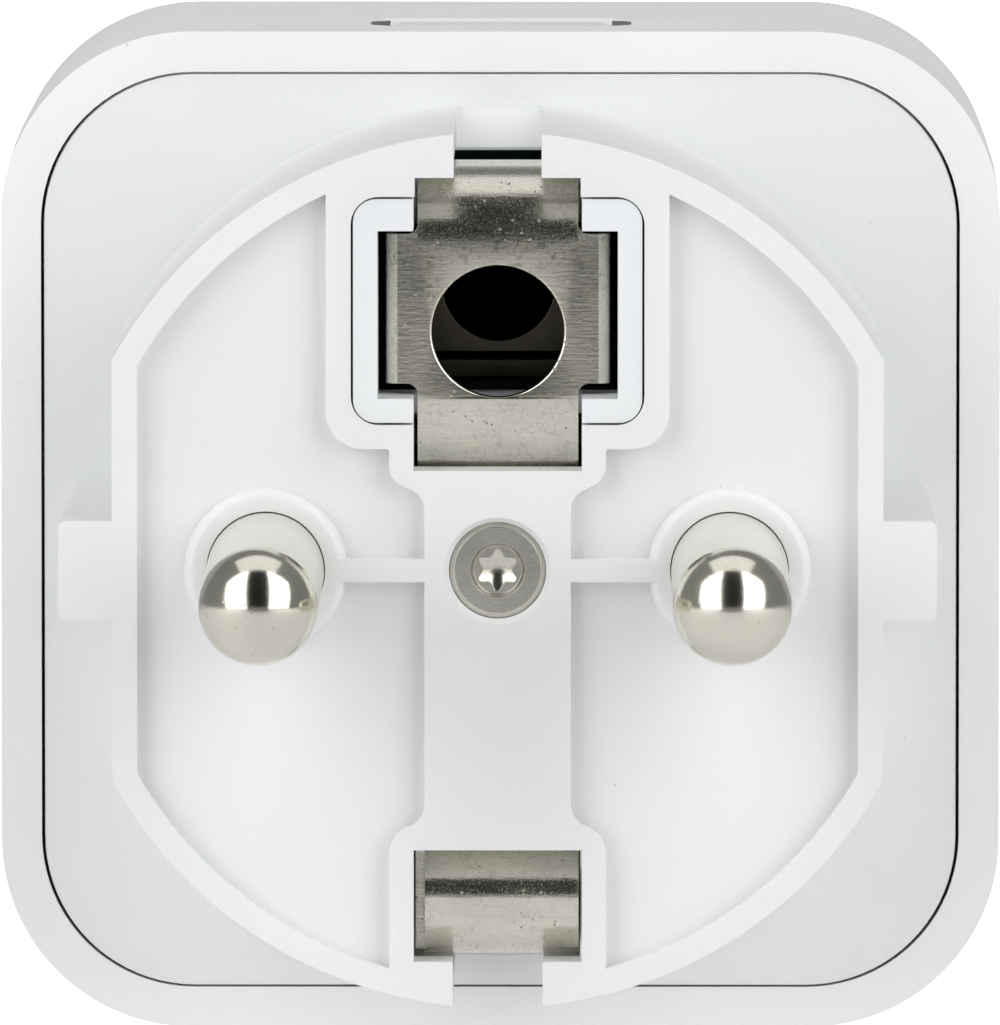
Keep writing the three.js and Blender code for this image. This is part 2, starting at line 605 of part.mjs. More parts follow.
function makePowerParts() {
  addPart('relay', 'black_plastic', boardBlock({ ...relay, leftX: -relay.half, rightX: relay.half }));
  addPart('mains_film_capacitor', 'yellow_plastic', boardBlock(filmCapacitor));
  addPart('bulk_capacitor', 'aluminium_can', boardRod(bulkCapacitor, 20));
  addPart('output_capacitor', 'aluminium_can', boardRod(outputCapacitor, 16));
  addPart('fuse_resistor', 'blue_coating', boardRod(fuse, 14));
  addPart('shunt_resistor', 'copper', boardBlock(shunt));
  const { flangeRadius, coreRadius, flange, frontFlangeY, backY, x, z } = inductor;
  addPart('filter_inductor', 'copper', turned([
    [0, backY], [flangeRadius, backY], [flangeRadius, backY + flange], [coreRadius, backY + flange],
    [coreRadius, frontFlangeY], [flangeRadius, frontFlangeY], [flangeRadius, boardFootY], [0, boardFootY],
  ], x, z, 20));
  const disc = rod(varistor.radius, -varistor.halfThickness, varistor.halfThickness, 0, 0, 20);
  const standing = disc.rotate([90, 0, 0]).translate([varistor.x, varistor.y, varistor.z]);
  addPart('varistor_disc', 'blue_coating', standing);
}

function makeControlParts() {
  addPart('radio_module_board', 'circuit_board', boardBlock(radioBoard));
  const { leftX, rightX, backY, frontY, bottomZ, topZ } = radioShield;
  addPart('radio_module_shield', 'steel', block(leftX, rightX, backY, frontY, bottomZ, topZ));
  addPart('metering_chip', 'black_plastic', chip(9, 13, -16, -11, 1.5));
  addPart('power_supply_chip', 'black_plastic', chip(-13.5, -9.5, -15.2, -11, 1.5));
  addPart('status_led', 'clear_resin', chip(3.6, 5.2, 16.2, 17, 1.1));
  addPart('antenna_wire', 'copper', rod(antenna.radius, boardFaceY, antenna.frontY, antenna.x, antenna.z, 10));
}

// ---- Button and the key switch under it ---------------------------------------------------------

function makeButton() {
  const { half, backY, frontY, topZ, undersideZ } = button;
  const cap = layer(roundedRectangle(-half, half, backY, frontY, 0.8), undersideZ, topZ, 3);
  const neck = block(-half + 0.2, half - 0.2, backY + 0.1, 26.2, 19, undersideZ + 0.2);
  const f = buttonFlange;
  const flange = block(f.leftX, f.rightX, f.backY, f.frontY, f.bottomZ, f.topZ);
  const stem = block(f.stemLeftX, f.stemRightX, f.backY + 0.3, f.frontY - 0.5, f.stemBottomZ, f.bottomZ + 0.1);
  addPart('button_cap', 'white_shell', joined([cap, neck, flange, stem]));
}

function makeKeySwitch() {
  const k = keySwitch;
  const middleX = (k.leftX + k.rightX) / 2;
  const middleY = (boardFrontY + 0.05 + k.frontY) / 2;
  const base = block(k.leftX, k.rightX, boardFrontY + 0.05, k.frontY, k.bottomZ, k.topZ);
  const hole = 0.25 + k.plungerHalf;
  const bore = block(middleX - hole, middleX + hole, middleY - hole, middleY + hole, 16.5, k.topZ + 1);
  addPart('key_switch_base', 'black_plastic', base.subtract(bore));
  const half = k.plungerHalf;
  const plunger = block(middleX - half, middleX + half, middleY - half, middleY + half, 17.2, 18.25);
  addPart('key_switch_plunger', 'white_insert', plunger);
}

// ---- The assembly -------------------------------------------------------------------------------

makeFrontShell();
makeRearHousing();
makeEarthSocketFrame();
makeUpperContact();
makeLowerContact();
makeEarthPinFork();
makeContacts();
makeScrew();
makeSocketEarth();
makeShutter();
makeShutterSpring();
makeBoard();
makePowerParts();
makeControlParts();
makeButton();
makeKeySwitch();

export default device;
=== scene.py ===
import json
import math

import bmesh
import bpy
from mathutils import Matrix, Vector


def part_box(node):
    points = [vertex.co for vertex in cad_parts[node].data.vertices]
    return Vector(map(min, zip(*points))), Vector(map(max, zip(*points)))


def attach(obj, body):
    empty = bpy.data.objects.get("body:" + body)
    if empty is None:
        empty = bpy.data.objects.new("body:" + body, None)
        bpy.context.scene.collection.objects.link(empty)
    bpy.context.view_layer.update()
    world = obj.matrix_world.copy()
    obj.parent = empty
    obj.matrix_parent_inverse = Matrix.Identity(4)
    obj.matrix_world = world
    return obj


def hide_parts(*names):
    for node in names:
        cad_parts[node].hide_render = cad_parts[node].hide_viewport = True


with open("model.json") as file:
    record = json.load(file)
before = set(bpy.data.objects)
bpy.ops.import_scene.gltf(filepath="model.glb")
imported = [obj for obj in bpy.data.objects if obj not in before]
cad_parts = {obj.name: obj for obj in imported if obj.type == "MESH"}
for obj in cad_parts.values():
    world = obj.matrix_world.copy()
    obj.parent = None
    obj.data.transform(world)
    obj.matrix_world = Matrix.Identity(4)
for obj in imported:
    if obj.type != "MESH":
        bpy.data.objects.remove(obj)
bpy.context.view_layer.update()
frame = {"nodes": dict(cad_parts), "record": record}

bl_info = {
    "name": "Plug-in Power Meter",
    "version": (1, 0, 0),
    "blender": (4, 5, 0),
    "location": "3D View > Sidebar > Power Meter",
    "description": "Builds a compact square plug-in power meter around its packed parts",
    "category": "Add Mesh",
}

# Forms are shaped in millimetres and brought to metres when a piece is finished.
MM = 0.001
ARC_STEPS = 10
ROUND_STEPS = 96


# ---- Places read from the frame, in millimetres ---------------------------------------------------

def box_mm(node):
    low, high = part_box(node)
    return low / MM, high / MM


HOUSING_LOW, HOUSING_HIGH = box_mm("rear_housing")
SHELL_LOW, SHELL_HIGH = box_mm("front_shell")
PIN_LOW, PIN_HIGH = box_mm("neutral_pin")
BUTTON_LOW, BUTTON_HIGH = box_mm("button_cap")
FRAME_LOW, FRAME_HIGH = box_mm("earth_socket_frame")
SCREW_LOW, SCREW_HIGH = box_mm("housing_screw")
STRIP_LOW, STRIP_HIGH = box_mm("plug_earth_contact_upper")
NOSE_LOW, NOSE_HIGH = box_mm("plug_earth_contact_lower")

FACE_Y = HOUSING_LOW.y
FRONT_Y = SHELL_HIGH.y
PANEL_FRONT_Y = HOUSING_HIGH.y
SIDE_HALF = SHELL_HIGH.x
PIN_X = (PIN_LOW.x + PIN_HIGH.x) / 2

# Sizes that several pieces share, in millimetres.
RIM_Y = 20.0
EARTH_HOLE_Z = 9.64
SPRING_FOOT_Z = 16.9
PAST = 1  # how far a cutter runs past what it cuts


# ---- Sizes and colours a user may change ----------------------------------------------------------

def length(name, description, default):
    return bpy.props.FloatProperty(
        name=name, description=description, default=default, min=0.0, subtype="DISTANCE", unit="LENGTH")


def colour(name, description, default):
    return bpy.props.FloatVectorProperty(
        name=name, description=description, default=default, size=3, min=0.0, max=1.0, subtype="COLOR")


class MeterShellSizes(bpy.types.PropertyGroup):
    corner_radius: length("Corner radius", "Radius of the shell's four long corners", 8.0 * MM)
    front_edge: length("Front edge", "Radius of the rounding around the front face", 4.2 * MM)
    rim_half: length("Rim half width", "Half the width of the rim around the rear panel", 21.0 * MM)
    well_radius: length("Well radius", "Radius of the socket well", 19.5 * MM)
    well_depth: length("Well depth", "Depth of the socket well", 17.5 * MM)
    seam_gap: length("Seam gap", "Gap between the rear panel and the shell", 0.15 * MM)
    edge_fillet: length("Edge fillet", "Rounding of the moulded edges", 0.2 * MM)


class MeterPlugSizes(bpy.types.PropertyGroup):
    face_radius: length("Face radius", "Radius of the round plug body", 18.0 * MM)
    flat_half: length("Flat half width", "Distance of the side flats from the axis", 15.8 * MM)
    edge_rib: length("Edge rib", "Width of the rib along the face's edge", 1.03 * MM)
    pocket_depth: length("Pocket depth", "Depth of the pockets between the ribs", 0.8 * MM)
    pin_radius: length("Pin radius", "Radius of a plug pin", 2.4 * MM)
    boss_radius: length("Boss radius", "Radius of the boss around a pin", 3.35 * MM)
    edge_fillet: length("Edge fillet", "Rounding of the moulded edges", 0.14 * MM)


class MeterMetalSizes(bpy.types.PropertyGroup):
    strip_thickness: length("Strip thickness", "Thickness of the earth contact strips", 0.6 * MM)
    earth_hole: length("Earth hole radius", "Radius of the hole for an earth pin", 2.7 * MM)
    edge_fillet: length("Edge fillet", "Rounding of the stamped edges", 0.09 * MM)
    screw_head: length("Screw head radius", "Radius of the housing screw's head", 1.965 * MM)


class MeterColours(bpy.types.PropertyGroup):
    shell: colour("Shell", "Colour of the outer shell", (0.88, 0.89, 0.875))
    housing: colour("Rear housing", "Colour of the plug body and rear panel", (0.83, 0.842, 0.84))
    nickel: colour("Nickel", "Colour of the nickel-plated metal", (0.76, 0.735, 0.64))
    steel: colour("Steel", "Colour of the screw", (0.70, 0.68, 0.62))


class MeterStage(bpy.types.PropertyGroup):
    camera_place: bpy.props.FloatVectorProperty(
        name="Camera place", description="Where the camera stands", size=3,
        default=(0.0042, -0.740, 0.0633), subtype="TRANSLATION", unit="LENGTH")
    camera_aim: bpy.props.FloatVectorProperty(
        name="Camera aim", description="The point that the camera looks at", size=3,
        default=(0.0001, 0.0, 0.0024), subtype="TRANSLATION", unit="LENGTH")
    lens: bpy.props.FloatProperty(
        name="Lens", description="Focal length in millimetres", default=637.0, min=1.0)
    side_light: bpy.props.FloatProperty(
        name="Side lights", description="Strength of the two soft boxes at the front", default=1.0, min=0.0)
    top_light: bpy.props.FloatProperty(
        name="Top light", description="Strength of the soft box overhead", default=1.0, min=0.0)


# ---- Forms: shapes in millimetres, made with mesh operators ---------------------------------------

def rounded_by_corner(form, corners_with_reach, steps=ARC_STEPS):
    groups = {}
    for vertex, reach in corners_with_reach:
        groups.setdefault(reach, []).append(vertex)
    for reach, vertices in groups.items():
        bmesh.ops.bevel(
            form, geom=vertices, offset=reach, offset_type="OFFSET", segments=steps, profile=0.5,
            affect="VERTICES", material=-1)


def flat_form(corners, axes="XZ", level=0.0, steps=ARC_STEPS):
    """A flat face. A corner is two coordinates and, if it is rounded, how far the rounding reaches."""
    form = bmesh.new()
    reaching = []
    for corner in corners:
        place = Vector((level, level, level))
        place["XYZ".index(axes[0])] = corner[0]
        place["XYZ".index(axes[1])] = corner[1]
        vertex = form.verts.new(place)
        if len(corner) > 2:
            reaching.append((vertex, corner[2]))
    form.faces.new(form.verts[:])
    rounded_by_corner(form, reaching, steps)
    return form


def raise_form(form, direction):
    raised = bmesh.ops.extrude_face_region(form, geom=form.faces[:])
    vertices = [item for item in raised["geom"] if isinstance(item, bmesh.types.BMVert)]
    bmesh.ops.translate(form, vec=direction, verts=vertices)
    bmesh.ops.recalc_face_normals(form, faces=form.faces[:])
    return form


def slab(corners, from_y, to_y, steps=ARC_STEPS):
    """An outline in X and Z, made solid from one Y to another."""
    return raise_form(flat_form(corners, "XZ", from_y, steps), (0, to_y - from_y, 0))


def sheet_layer(corners, from_z, to_z, steps=ARC_STEPS):
    """An outline in X and Y, made solid from one Z to another."""
    return raise_form(flat_form(corners, "XY", from_z, steps), (0, 0, to_z - from_z))


def block(low, high):
    corners = [(low[0], low[2]), (high[0], low[2]), (high[0], high[2]), (low[0], high[2])]
    return slab(corners, low[1], high[1])


def rectangle(half_x, low_z, high_z, reach):
    places = ((-half_x, low_z), (half_x, low_z), (half_x, high_z), (-half_x, high_z))
    return [(x, z, reach) for x, z in places]


def mirrored(half):
    """Half an outline, and then its mirror image in X on the way back."""
    return half + [(-corner[0], *corner[1:]) for corner in reversed(half)]


def turned(points, x=0.0, z=0.0, steps=ROUND_STEPS):
    """A solid turned about the Y axis from (radius, Y) points, then moved sideways."""
    form = bmesh.new()
    vertices = [form.verts.new((radius, y, 0)) for radius, y in points]
    edges = [form.edges.new(pair) for pair in zip(vertices, vertices[1:])]
    bmesh.ops.spin(
        form, geom=vertices + edges, axis=(0, 1, 0), cent=(0, 0, 0), angle=2 * math.pi, steps=steps,
        use_merge=True)
    bmesh.ops.remove_doubles(form, verts=form.verts[:], dist=1e-5)
    bmesh.ops.translate(form, vec=(x, 0, z), verts=form.verts[:])
    bmesh.ops.recalc_face_normals(form, faces=form.faces[:])
    return form


def rod(radius, from_y, to_y, x=0.0, z=0.0, steps=ROUND_STEPS):
    return turned([(0, from_y), (radius, from_y), (radius, to_y), (0, to_y)], x, z, steps)


def cone(from_radius, to_radius, from_y, to_y, x=0.0, z=0.0, steps=ROUND_STEPS):
    return turned([(0, from_y), (from_radius, from_y), (to_radius, to_y), (0, to_y)], x, z, steps)


def arc(centre, radius, from_degrees, to_degrees, steps):
    points = []
    for step in range(steps + 1):
        angle = math.radians(from_degrees + (to_degrees - from_degrees) * step / steps)
        points.append((centre[0] + radius * math.cos(angle), centre[1] + radius * math.sin(angle)))
    return points


def flatted_disc(radius, flat_half, from_y, to_y):
    """A round slab with its left and right sides cut flat."""
    form = bmesh.new()
    bmesh.ops.create_circle(form, cap_ends=True, radius=radius, segments=ROUND_STEPS * 2)
    bmesh.ops.rotate(form, cent=(0, 0, 0), matrix=Matrix.Rotation(math.pi / 2, 3, "X"), verts=form.verts[:])
    bmesh.ops.translate(form, vec=(0, from_y, 0), verts=form.verts[:])
    for side in (-1, 1):
        everything = form.verts[:] + form.edges[:] + form.faces[:]
        bmesh.ops.bisect_plane(
            form, geom=everything, plane_co=(side * flat_half, 0, 0), plane_no=(side, 0, 0), clear_outer=True)
    return raise_form(form, (0, to_y - from_y, 0))


def strip(corners, thickness, low_x, high_x, steps=ARC_STEPS):
    """A bent strip of one thickness. It follows (Y, Z) corners, each with its bend radius."""
    points = [Vector(corner[:2]) for corner in corners]
    sides = ([], [])
    for index, point in enumerate(points):
        before = (point - points[index - 1]).normalized() if index else None
        after = (points[index + 1] - point).normalized() if index + 1 < len(points) else before
        before = before or after
        half_turn = before.angle_signed(after) / 2
        across = Vector((-(before + after).y, (before + after).x)).normalized() / math.cos(half_turn)
        bend = corners[index][2] if len(corners[index]) > 2 else 0
        for side, outline in zip((1, -1), sides):
            radius = bend + side * math.copysign(thickness / 2, half_turn)
            place = point + across * side * thickness / 2
            reach = abs(radius * math.tan(half_turn))
            outline.append((*place, reach) if bend else tuple(place))
    form = flat_form(sides[0] + sides[1][::-1], "YZ", low_x, steps)
    return raise_form(form, (high_x - low_x, 0, 0))


# ---- Pieces: objects made of forms ----------------------------------------------------------------

def solid(form, name="tool"):
    mesh = bpy.data.meshes.new(name)
    form.to_mesh(mesh)
    form.free()
    piece = bpy.data.objects.new(name, mesh)
    bpy.context.scene.collection.objects.link(piece)
    return piece


def combine(piece, forms, operation):
    for form in forms:
        tool = form if isinstance(form, bpy.types.Object) else solid(form)
        modifier = piece.modifiers.new(operation.lower(), "BOOLEAN")
        modifier.operation = operation
        modifier.solver = "EXACT"
        modifier.object = tool
        evaluated = piece.evaluated_get(bpy.context.evaluated_depsgraph_get())
        result = bpy.data.meshes.new_from_object(evaluated)
        piece.modifiers.clear()
        old = piece.data
        piece.data = result
        bpy.data.meshes.remove(old)
        bpy.data.objects.remove(tool)
    return piece


def cut(piece, *forms):
    return combine(piece, forms, "DIFFERENCE")


def join(piece, *forms):
    return combine(piece, forms, "UNION")


def keep_inside(piece, *forms):
    return combine(piece, forms, "INTERSECT")


def finish_piece(
        piece, name, body, material, replaced, fillet=0.0, segments=3, flat_angle=0.4):
    """Cleans the mesh, brings it to metres, gives it its material and bevel, hangs it on its body and hides
    the parts it replaces.
    """
    form = bmesh.new()
    form.from_mesh(piece.data)
    bmesh.ops.remove_doubles(form, verts=form.verts[:], dist=2e-4)
    bmesh.ops.dissolve_degenerate(form, dist=2e-4, edges=form.edges[:])
    bmesh.ops.dissolve_limit(
        form, angle_limit=math.radians(flat_angle), use_dissolve_boundaries=False, verts=form.verts[:],
        edges=form.edges[:])
    bmesh.ops.scale(form, vec=(MM, MM, MM), verts=form.verts[:])
    for face in form.faces:
        face.smooth = True
    form.to_mesh(piece.data)
    form.free()
    piece.name = name
    piece.data.name = name
    piece.data.materials.clear()
    piece.data.materials.append(material)
    if fillet:
        bevel = piece.modifiers.new("edges", "BEVEL")
        bevel.width = fillet
        bevel.segments = segments
        bevel.limit_method = "ANGLE"
        bevel.angle_limit = math.radians(28)
        bevel.harden_normals = True
        bevel.miter_outer = "MITER_ARC"
        bevel.use_clamp_overlap = True
    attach(piece, body)
    if replaced:
        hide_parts(*replaced)
    return piece


# ---- Finishes: node materials ---------------------------------------------------------------------

class Value:
    """One shader value. Sums, products and comparisons of values add their Math nodes."""

    def __init__(self, finish, socket):
        self.finish = finish
        self.socket = socket

    def math(self, operation, *others):
        settings = {"operation": operation}
        return self.finish.node("ShaderNodeMath", settings, {i: v for i, v in enumerate((self, *others))})

    def __add__(self, other):
        return self.math("ADD", other)

    __radd__ = __add__

    def __mul__(self, other):
        return self.math("MULTIPLY", other)

    __rmul__ = __mul__

    def __sub__(self, other):
        return self.math("SUBTRACT", other)

    def __rsub__(self, other):
        return (self * -1) + other

    def between(self, low, high):
        """0 below low, 1 above high, and smooth in between."""
        inputs = {"Value": self, "From Min": low, "From Max": high}
        return self.finish.node("ShaderNodeMapRange", {"interpolation_type": "SMOOTHSTEP"}, inputs, "Result")


class Finish:
    """A material under construction, with one method that adds any node."""

    def __init__(self, name, **constants):
        self.material = bpy.data.materials.new(name)
        self.material.use_nodes = True
        self.nodes = self.material.node_tree.nodes
        self.links = self.material.node_tree.links
        self.nodes.clear()
        self.surface = self.nodes.new("ShaderNodeBsdfPrincipled")
        output = self.nodes.new("ShaderNodeOutputMaterial")
        self.links.new(self.surface.outputs["BSDF"], output.inputs["Surface"])
        for socket, value in constants.items():
            self.surface.inputs[socket.replace("_", " ").title()].default_value = value
        self.place = self.node("ShaderNodeTexCoord", output="Object")

    def node(self, kind, settings=None, inputs=None, output=0):
        made = self.nodes.new(kind)
        for setting, value in (settings or {}).items():
            setattr(made, setting, value)
        for socket, value in (inputs or {}).items():
            self.feed(made.inputs[socket], value)
        return Value(self, made.outputs[output])

    def feed(self, socket, value):
        if isinstance(value, Value):
            self.links.new(value.socket, socket)
        else:
            socket.default_value = value

    def stretched(self, scale):
        return self.node("ShaderNodeMapping", None, {"Vector": self.place, "Scale": scale}, "Vector")

    def noise(self, scale, detail=2.0, place=None, roughness=0.5):
        inputs = {"Vector": place or self.place, "Scale": scale, "Detail": detail, "Roughness": roughness}
        return self.node("ShaderNodeTexNoise", None, inputs, "Fac")

    def specks(self, spacing, size):
        """1 in small round specks that lie about spacing apart, and 0 elsewhere."""
        inputs = {"Vector": self.place, "Scale": 1 / spacing, "Randomness": 1.0}
        distance = self.node("ShaderNodeTexVoronoi", None, inputs, "Distance")
        return 1 - distance.between(size * 0.6 / spacing, size / spacing)

    def mixed(self, factor, first, second):
        """The first colour where the factor is 0, and the second where it is 1."""
        made = self.nodes.new("ShaderNodeMix")
        made.data_type = "RGBA"
        colours = [socket for socket in made.inputs if socket.type == "RGBA"]
        self.feed(made.inputs[0], factor)
        self.feed(colours[0], first)
        self.feed(colours[1], second)
        return Value(self, [socket for socket in made.outputs if socket.type == "RGBA"][0])

    def bumped(self, height, depth):
        inputs = {"Height": height, "Distance": depth}
        normal = self.node("ShaderNodeBump", None, inputs, "Normal")
        self.feed(self.surface.inputs["Normal"], normal)

    def paint(self, colour_value, roughness):
        self.feed(self.surface.inputs["Base Color"], colour_value)
        self.feed(self.surface.inputs["Roughness"], roughness)


def with_alpha(rgb, factor=1.0):
    return (*(min(channel * factor, 1.0) for channel in rgb), 1.0)


def moulded_plastic(name, rgb, roughness=0.36, translucent=0.12):
    """Injection-moulded plastic: a fine eroded grain, faint flow clouding, hairline scratches and dust."""
    finish = Finish(name, subsurface_weight=translucent, subsurface_scale=0.0012)
    finish.surface.inputs["Subsurface Radius"].default_value = (1.0, 0.95, 0.9)
    grain = finish.noise(7000, 3.0)
    cloud = finish.noise(90, 2.0)
    hairline = finish.noise(60, 1.0, finish.stretched((1.0, 1.0, 55.0))).between(0.70, 0.76)
    dust = finish.specks(0.0022, 0.00007) * finish.noise(400).between(0.5, 0.6)
    tone = finish.mixed(cloud.between(0.35, 0.65), with_alpha(rgb, 0.985), with_alpha(rgb, 1.012))
    dusty = finish.mixed(dust * 0.35, tone, with_alpha((0.35, 0.33, 0.30)))
    finish.paint(dusty, roughness + (cloud - 0.5) * 0.10 + (grain - 0.5) * 0.10 + hairline * 0.05)
    finish.bumped(grain - hairline * 0.4 + cloud * 0.5, 0.000004)
    return finish.material


def brushed_metal(
        name, rgb, roughness=0.2, lines=0.5, pits=1.0, wave=0.0, stretch=(0.03, 1.0, 1.0), grit=0.5,
        tarnished_and_shaded=False):
    """Rolled and plated metal: drawn lines, small pits, a mottled bloom, and, when asked, tarnished specks
    with a painted shade band.
    """
    finish = Finish(name, metallic=1.0)
    drawn = finish.noise(16000, 2.0, finish.stretched(stretch))
    broad = finish.noise(2600, 2.0, finish.stretched(stretch))
    bloom = finish.noise(350, 3.0)
    pit = finish.specks(0.00034, 0.00006) * finish.noise(1400).between(0.52, 0.62)
    grains = finish.noise(9000, 3.0, finish.stretched((0.25, 1.0, 1.0)))
    tone = finish.mixed(bloom.between(0.3, 0.7), with_alpha(rgb, 0.94), with_alpha(rgb, 1.05))
    tone = finish.mixed(pit * 0.45 * pits, tone, with_alpha(rgb, 0.35))
    tone = finish.mixed(drawn.between(0.35, 0.7) * 0.35 * lines, tone, with_alpha(rgb, 0.6))
    wear = roughness + (drawn - 0.5) * 0.16 * lines + (bloom - 0.5) * 0.12 + pit * 0.2 * pits
    if tarnished_and_shaded:
        tarnish_and_painted_shade, glints = contact_tarnish_and_painted_shade(finish)
        # Painted shade: this mix darkens the tarnished specks and also a band high on the upper strip.
        tone = finish.mixed(tarnish_and_painted_shade, tone, with_alpha(rgb, 0.30))
        wear = wear + glints * 0.17 - 0.02
    finish.paint(tone, wear)
    height = drawn * lines + broad * (0.8 * lines) + grains * grit + bloom * wave - pit * 1.2 * pits
    finish.bumped(height, 0.0000035)
    return finish.material


def contact_tarnish_and_painted_shade(finish):
    """Where an earth contact has tarnished specks and a painted shade band, and where it is rough enough to
    glint.
    """
    height = finish.node("ShaderNodeSeparateXYZ", None, {"Vector": finish.place}, "Z")
    patches = finish.noise(1100, 4.0, None, 0.65).between(0.40, 0.60)
    speckle = finish.noise(5200, 2.0).between(0.50, 0.62) * patches
    # Painted shade: darker from 9.5 mm to 13.4 mm up, fading above, standing in for the dark reflection on
    # the strip's bend.
    painted_shade_band = height.between(0.0095, 0.0134) * (1 - height.between(0.0134, 0.0146) * 0.8)
    tarnish_and_painted_shade = speckle * 0.22 + painted_shade_band * (0.25 + speckle * 0.25)
    smooth_plate = height.between(0.006, 0.007) * (1 - height.between(0.0118, 0.0134))
    glints = finish.noise(13000, 3.0, None, 0.6).between(0.44, 0.80) * (1 - smooth_plate * 0.85)
    return tarnish_and_painted_shade, glints


def circuit_board_finish(name):
    """Green solder mask over copper tracks, with fine tracks showing as a lighter relief."""
    finish = Finish(name)
    tracks = finish.node(
        "ShaderNodeTexBrick", {"offset": 0.37, "squash": 1.6},
        {"Vector": finish.stretched((1.0, 0.0, 1.0)), "Scale": 320.0, "Mortar Size": 0.09,
         "Mortar Smooth": 0.1, "Brick Width": 0.9, "Row Height": 0.35}, "Fac")
    weave = finish.noise(2200, 2.0)
    mask = finish.mixed(tracks * 0.7, with_alpha((0.012, 0.095, 0.04)), with_alpha((0.03, 0.19, 0.08)))
    finish.paint(mask, 0.34 + (weave - 0.5) * 0.2)
    finish.bumped(tracks + weave * 0.3, 0.00002)
    return finish.material


def part_coating(name, rgb, roughness=0.45, grain_scale=2500.0, depth=0.000008, ior=1.5):
    """A small component's coat: a mottled tone, a fine pebble and handling marks."""
    finish = Finish(name)
    finish.surface.inputs["IOR"].default_value = ior
    pebble = finish.noise(grain_scale, 3.0)
    cloud = finish.noise(240, 3.0)
    marks = finish.noise(900, 2.0, finish.stretched((1.0, 0.06, 1.0))).between(0.62, 0.72)
    tone = finish.mixed(cloud.between(0.3, 0.7), with_alpha(rgb, 0.8), with_alpha(rgb, 1.15))
    finish.paint(finish.mixed(marks * 0.25, tone, with_alpha(rgb, 1.6)), roughness + (pebble - 0.5) * 0.25)
    finish.bumped(pebble + cloud * 0.5, depth)
    return finish.material


# ---- Operators: one for each piece or group of like pieces ----------------------------------------

def in_mm(value):
    return value / MM


